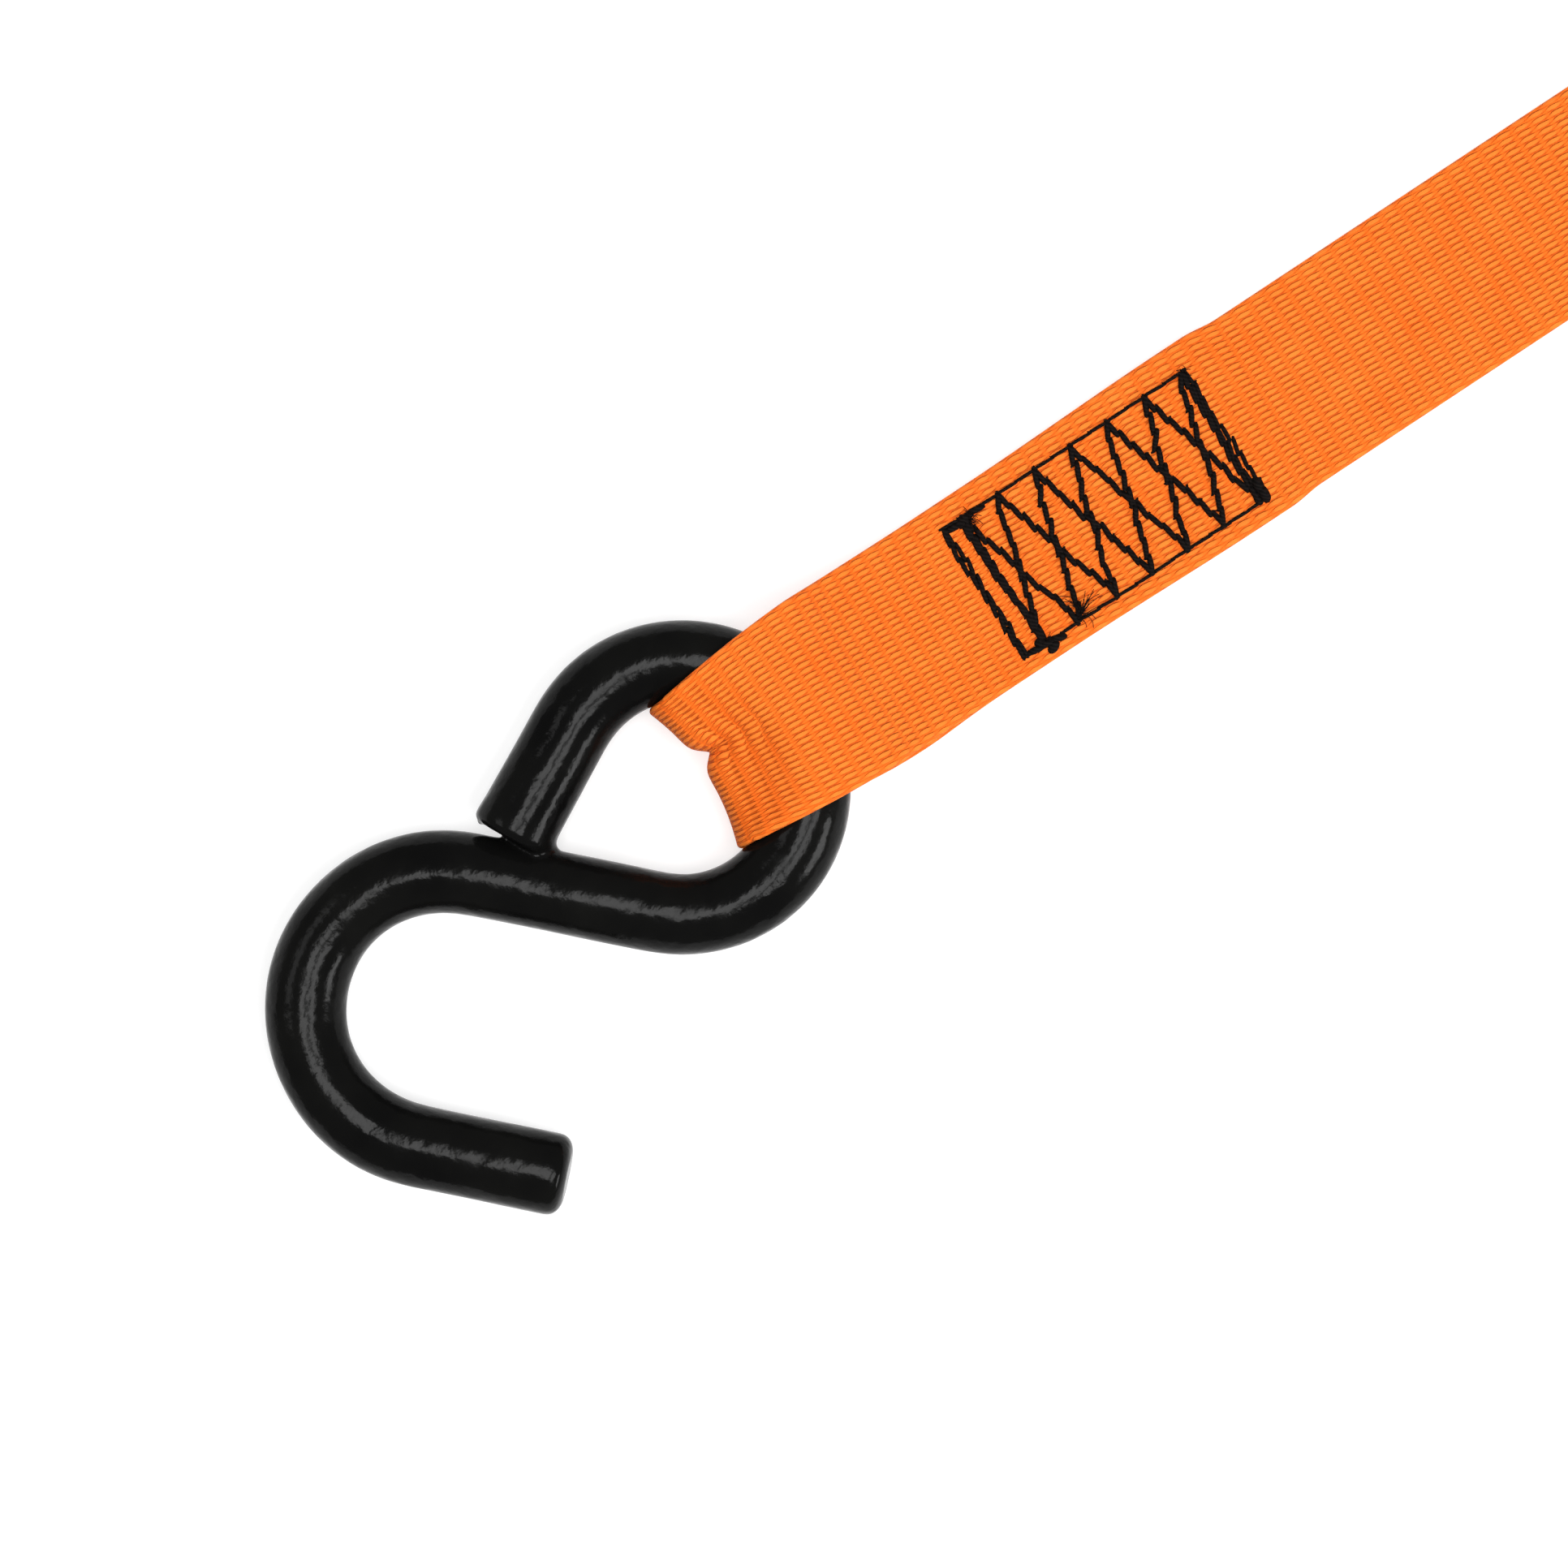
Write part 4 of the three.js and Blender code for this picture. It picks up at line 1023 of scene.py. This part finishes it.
def softened(node, material, width=0.35):
    """Stands for a CAD part, with its facets joined and its sharp edges rounded."""
    source = frame["nodes"][node]
    mesh = source.data.copy()
    mesh.materials.clear()
    work = bmesh.new()
    work.from_mesh(mesh)
    bmesh.ops.remove_doubles(work, verts=work.verts, dist=0.00002)
    bmesh.ops.dissolve_limit(work, angle_limit=math.radians(1), verts=work.verts, edges=work.edges)
    work.to_mesh(mesh)
    work.free()
    made = make_object(f"{node}_finish", mesh, material)
    bevel = made.modifiers.new("bevel", "BEVEL")
    bevel.width = width * MM
    bevel.segments = 2
    bevel.limit_method = "ANGLE"
    bevel.angle_limit = math.radians(SHARP)
    bevel.harden_normals = True
    apply_modifiers(made)
    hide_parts(node)
    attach(made, body_of(node))


PLATED = (
    "ratchet_frame", "ratchet_wheel_left", "ratchet_wheel_right",
    "lock_pawl", "handle_frame", "drive_pawl",
)
for node in PLATED:
    softened(node, ZINC)
for node in ("spool_washer_left", "spool_washer_right"):
    softened(node, ZINC, 0.2)
for node in ("anchor_bolt", "anchor_nut", "anchor_sleeve", "spool_half_upper", "spool_half_lower"):
    softened(node, STEEL, 0.3)
for node in ("cotter_pin_left", "cotter_pin_right"):
    softened(node, STEEL, 0.2)
for node in ("hook_a_core", "hook_b_core"):
    frame["nodes"][node].data.materials.clear()
    frame["nodes"][node].data.materials.append(STEEL)


SPRING_R = 3.2
WIRE_R = 0.45


def spring(node, start, end, turns):
    """A compression spring along X with closed end turns."""
    share = np.linspace(0, 1, turns * 26 + 1)
    turn = share * turns
    climb = np.interp(turn, [0, 1, turns - 1, turns], [0, 0.045, 0.955, 1])
    x = start.x + WIRE_R + 0.3 + (end - start.x - 2 * WIRE_R - 0.6) * climb
    angle = TAU * turn
    path = np.stack([x, start.y + SPRING_R * np.cos(angle), start.z + SPRING_R * np.sin(angle)], axis=1)
    points, faces = tube(path, WIRE_R, 9)
    made = make_object(f"{node}_coil", mesh_of(node, points, faces), STEEL)
    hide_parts(node)
    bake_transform(made)


spring("lock_pawl_spring", Vector((-13.5, 0, 13.5)), 6, 7)
spring("drive_pawl_spring", Vector((64, 0, 18)), 91.7, 9)

# The grip, and the pocket in it for the handle's folded plate
GRIP_X = (96, 139)
GRIP_HALF = 24
GRIP_Z = (8.0, 20.2)
POCKET_HALF = 22.1
POCKET_IN = 19.5
POCKET_Z = (10.2, 12.8, 18.8)


def rounded_section(half_y, z0, z1, radius, steps=8):
    """A rounded rectangle as (y, z) points, anticlockwise."""
    points = []
    for cy, cz, first in ((half_y - radius, z1 - radius, 0), (radius - half_y, z1 - radius, 1),
                          (radius - half_y, z0 + radius, 2), (half_y - radius, z0 + radius, 3)):
        for t in np.linspace(0, math.pi / 2, steps + 1):
            a = first * math.pi / 2 + t
            points.append((cy + radius * math.cos(a), cz + radius * math.sin(a)))
    return points


def grip_body():
    """A loft with a collar, finger ribs, a waist and a rounded end."""
    rows = []
    xs = np.concatenate([[GRIP_X[0], GRIP_X[0] + 0.3], np.arange(GRIP_X[0] + 0.9, GRIP_X[1] - 2.4, 0.4),
                         GRIP_X[1] - 2.2 + 2.2 * np.sin(np.linspace(0, math.pi / 2, 8))])
    for x in xs:
        from_start = x - GRIP_X[0]
        to_end = GRIP_X[1] - x
        rim = 2.2 - math.sqrt(max(2.2**2 - max(2.2 - to_end, 0) ** 2, 0))
        lip = 0.5 * max(1 - from_start / 0.6, 0)
        collar = smooth_step((from_start - 5) / 1.2)
        ribbed = collar * smooth_step((to_end - 6) / 2)
        rib = 0.55 * ribbed * (0.5 - 0.5 * math.cos(TAU * (from_start - 6) / 4.6))
        waist = 1.2 * collar * math.sin(math.pi * min(max((from_start - 5) / 34, 0), 1))
        half = GRIP_HALF - rim - lip - 0.35 * collar - 0.3 * waist - 0.3 * rib
        inset = rim * 0.8 + lip + rib
        section = rounded_section(half, GRIP_Z[0] + inset, GRIP_Z[1] - inset, 3.0)
        rows.append([(x, y, z) for y, z in section])
    size = len(rows[0])
    faces = [tuple(range(size))[::-1], tuple((len(rows) - 1) * size + j for j in range(size))]
    for i in range(len(rows) - 1):
        faces += ring_faces(i * size, size)
    return np.concatenate([np.array(row) for row in rows]), faces


def pocket_body():
    """The channel that the handle's plate fills."""
    low, web, top = POCKET_Z
    outline = [
        (-POCKET_HALF, low), (POCKET_HALF, low), (POCKET_HALF, top), (POCKET_IN, top),
        (POCKET_IN, web), (-POCKET_IN, web), (-POCKET_IN, top), (-POCKET_HALF, top),
    ]
    ends = (GRIP_X[0] - 5, GRIP_X[1] - 1.7)
    points = [(x, y, z) for x in ends for y, z in outline]
    size = len(outline)
    faces = [tuple(range(size))[::-1], tuple(size + j for j in range(size))]
    faces += ring_faces(0, size)
    return points, faces


def grip():
    made = make_object("grip", mesh_of("grip", *grip_body()), RUBBER)
    pocket = make_object("pocket", mesh_of("pocket", *pocket_body()), RUBBER)
    cut = made.modifiers.new("cut", "BOOLEAN")
    cut.operation = "DIFFERENCE"
    cut.solver = "EXACT"
    cut.object = pocket
    apply_modifiers(made)
    bpy.data.objects.remove(pocket)
    shade(made.data)
    made.data.set_sharp_from_angle(angle=math.radians(40))
    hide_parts("handle_grip")
    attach(made, "handle")


grip()

# The coil's tie: a band round the coil's wall, its end lapped over its start
TIE_TURN = math.radians(60)
TIE_R = (8.9, 35.9)
TIE_Z = (0.8, 28.0)
TIE_CORNER = 1.5
TIE_HALF = (5.0, 0.55)


def tie_path():
    """(distance from the coil's axis, height), from the outside down, in, up and out again."""
    (r0, r1), (z0, z1), c = TIE_R, TIE_Z, TIE_CORNER
    points = [(r1, 20), (r1, 14), (r1, 8)]
    outer, inner, low, high = r1 - c, r0 + c, z0 + c, z1 - c
    for r, z, first in ((outer, low, 0), (inner, low, -90), (inner, high, -180), (outer, high, -270)):
        for a in np.radians(np.arange(first, first - 91, -15)):
            points.append((r + c * math.cos(a), z + c * math.sin(a)))
    lap = 2 * TIE_HALF[1] + 0.1
    points += [(r1 + 0.1, 24.5), (r1 + 0.6, 22.5), (r1 + lap, 20.5), (r1 + lap, 17), (r1 + lap, 13)]
    return resample(points, 0.5)


def coil_tie():
    path = tie_path()
    along = unit(np.gradient(path, axis=0))
    out = np.array([math.cos(TIE_TURN), math.sin(TIE_TURN), 0])
    side = np.array([-out[1], out[0], 0])
    section = rounded_section(TIE_HALF[0], -TIE_HALF[1], TIE_HALF[1], 0.45, 3)
    points = []
    for (r, z), (tr, tz) in zip(path, along):
        for across, lift in section:
            flat = np.array(COIL) + out * (r - tz * lift) + side * across
            points.append((flat[0], flat[1], z + tr * lift))
    size = len(section)
    faces = [tuple(range(size)), tuple(len(points) - 1 - j for j in range(size))]
    for start in range(0, len(points) - size, size):
        faces += ring_faces(start, size, turned=True)
    made = make_object("coil_band", mesh_of("coil_band", points, faces), BAND)
    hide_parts("coil_tie")
    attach(made, "frame")


coil_tie()


# ---- Floor and light ----
def floor():
    size = 3.0
    mesh = bpy.data.meshes.new("floor")
    corners = [(-size, -size, 0), (size, -size, 0), (size, size, 0), (-size, size, 0)]
    mesh.from_pydata(corners, [], [(0, 1, 2, 3)])
    made = make_object("floor", mesh, floor_material(), smooth=False)
    made.location.z = -0.0002


STRIP_SIZE = (0.66, 0.34)
STRIP_WATTS = 8.2
STRIP_TURN = math.radians(26.5)
STRIP_HEIGHT = 1.3


def lamp(name, place, rotation, size, watts):
    data = bpy.data.lights.new(name, "AREA")
    data.shape = "RECTANGLE"
    data.size, data.size_y = size
    data.energy = watts
    made = bpy.data.objects.new(name, data)
    made.location = place
    made.rotation_euler = rotation
    bpy.context.scene.collection.objects.link(made)


def aimed(name, offset, size, watts):
    """A lamp that points at the part of the object in the picture."""
    lamp(name, subject + offset, (-offset).to_track_quat("-Z", "Y").to_euler(), size, watts)


def strip(name, target, offset):
    """One of two soft boxes side by side overhead."""
    side = Vector((-math.sin(STRIP_TURN), math.cos(STRIP_TURN), 0))
    place = target + side * offset + Vector((0, 0, STRIP_HEIGHT))
    lamp(name, place, (0, 0, STRIP_TURN), STRIP_SIZE, STRIP_WATTS)


floor()
subject = VIEW_CENTRE * MM
aimed("key", Vector((-0.8, 0.75, 1.2)), (0.7, 0.5), 3)
aimed("side", Vector((0.68, -1.14, 0.62)), (0.6, 0.4), 9)
overhead = subject + Vector((0.1, -0.18, 0))
strip("strip_left", overhead, 0.23)
strip("strip_right", overhead, -0.23)
world = bpy.data.worlds.new("world")
world.use_nodes = True
background = world.node_tree.nodes["Background"]
background.inputs["Color"].default_value = (1, 1, 1, 1)
background.inputs["Strength"].default_value = 0.24
bpy.context.scene.world = world
bpy.context.scene.view_settings.view_transform = "Standard"


def corners(bounds):
    return [[float(v) for v in corner] for corner in bounds]
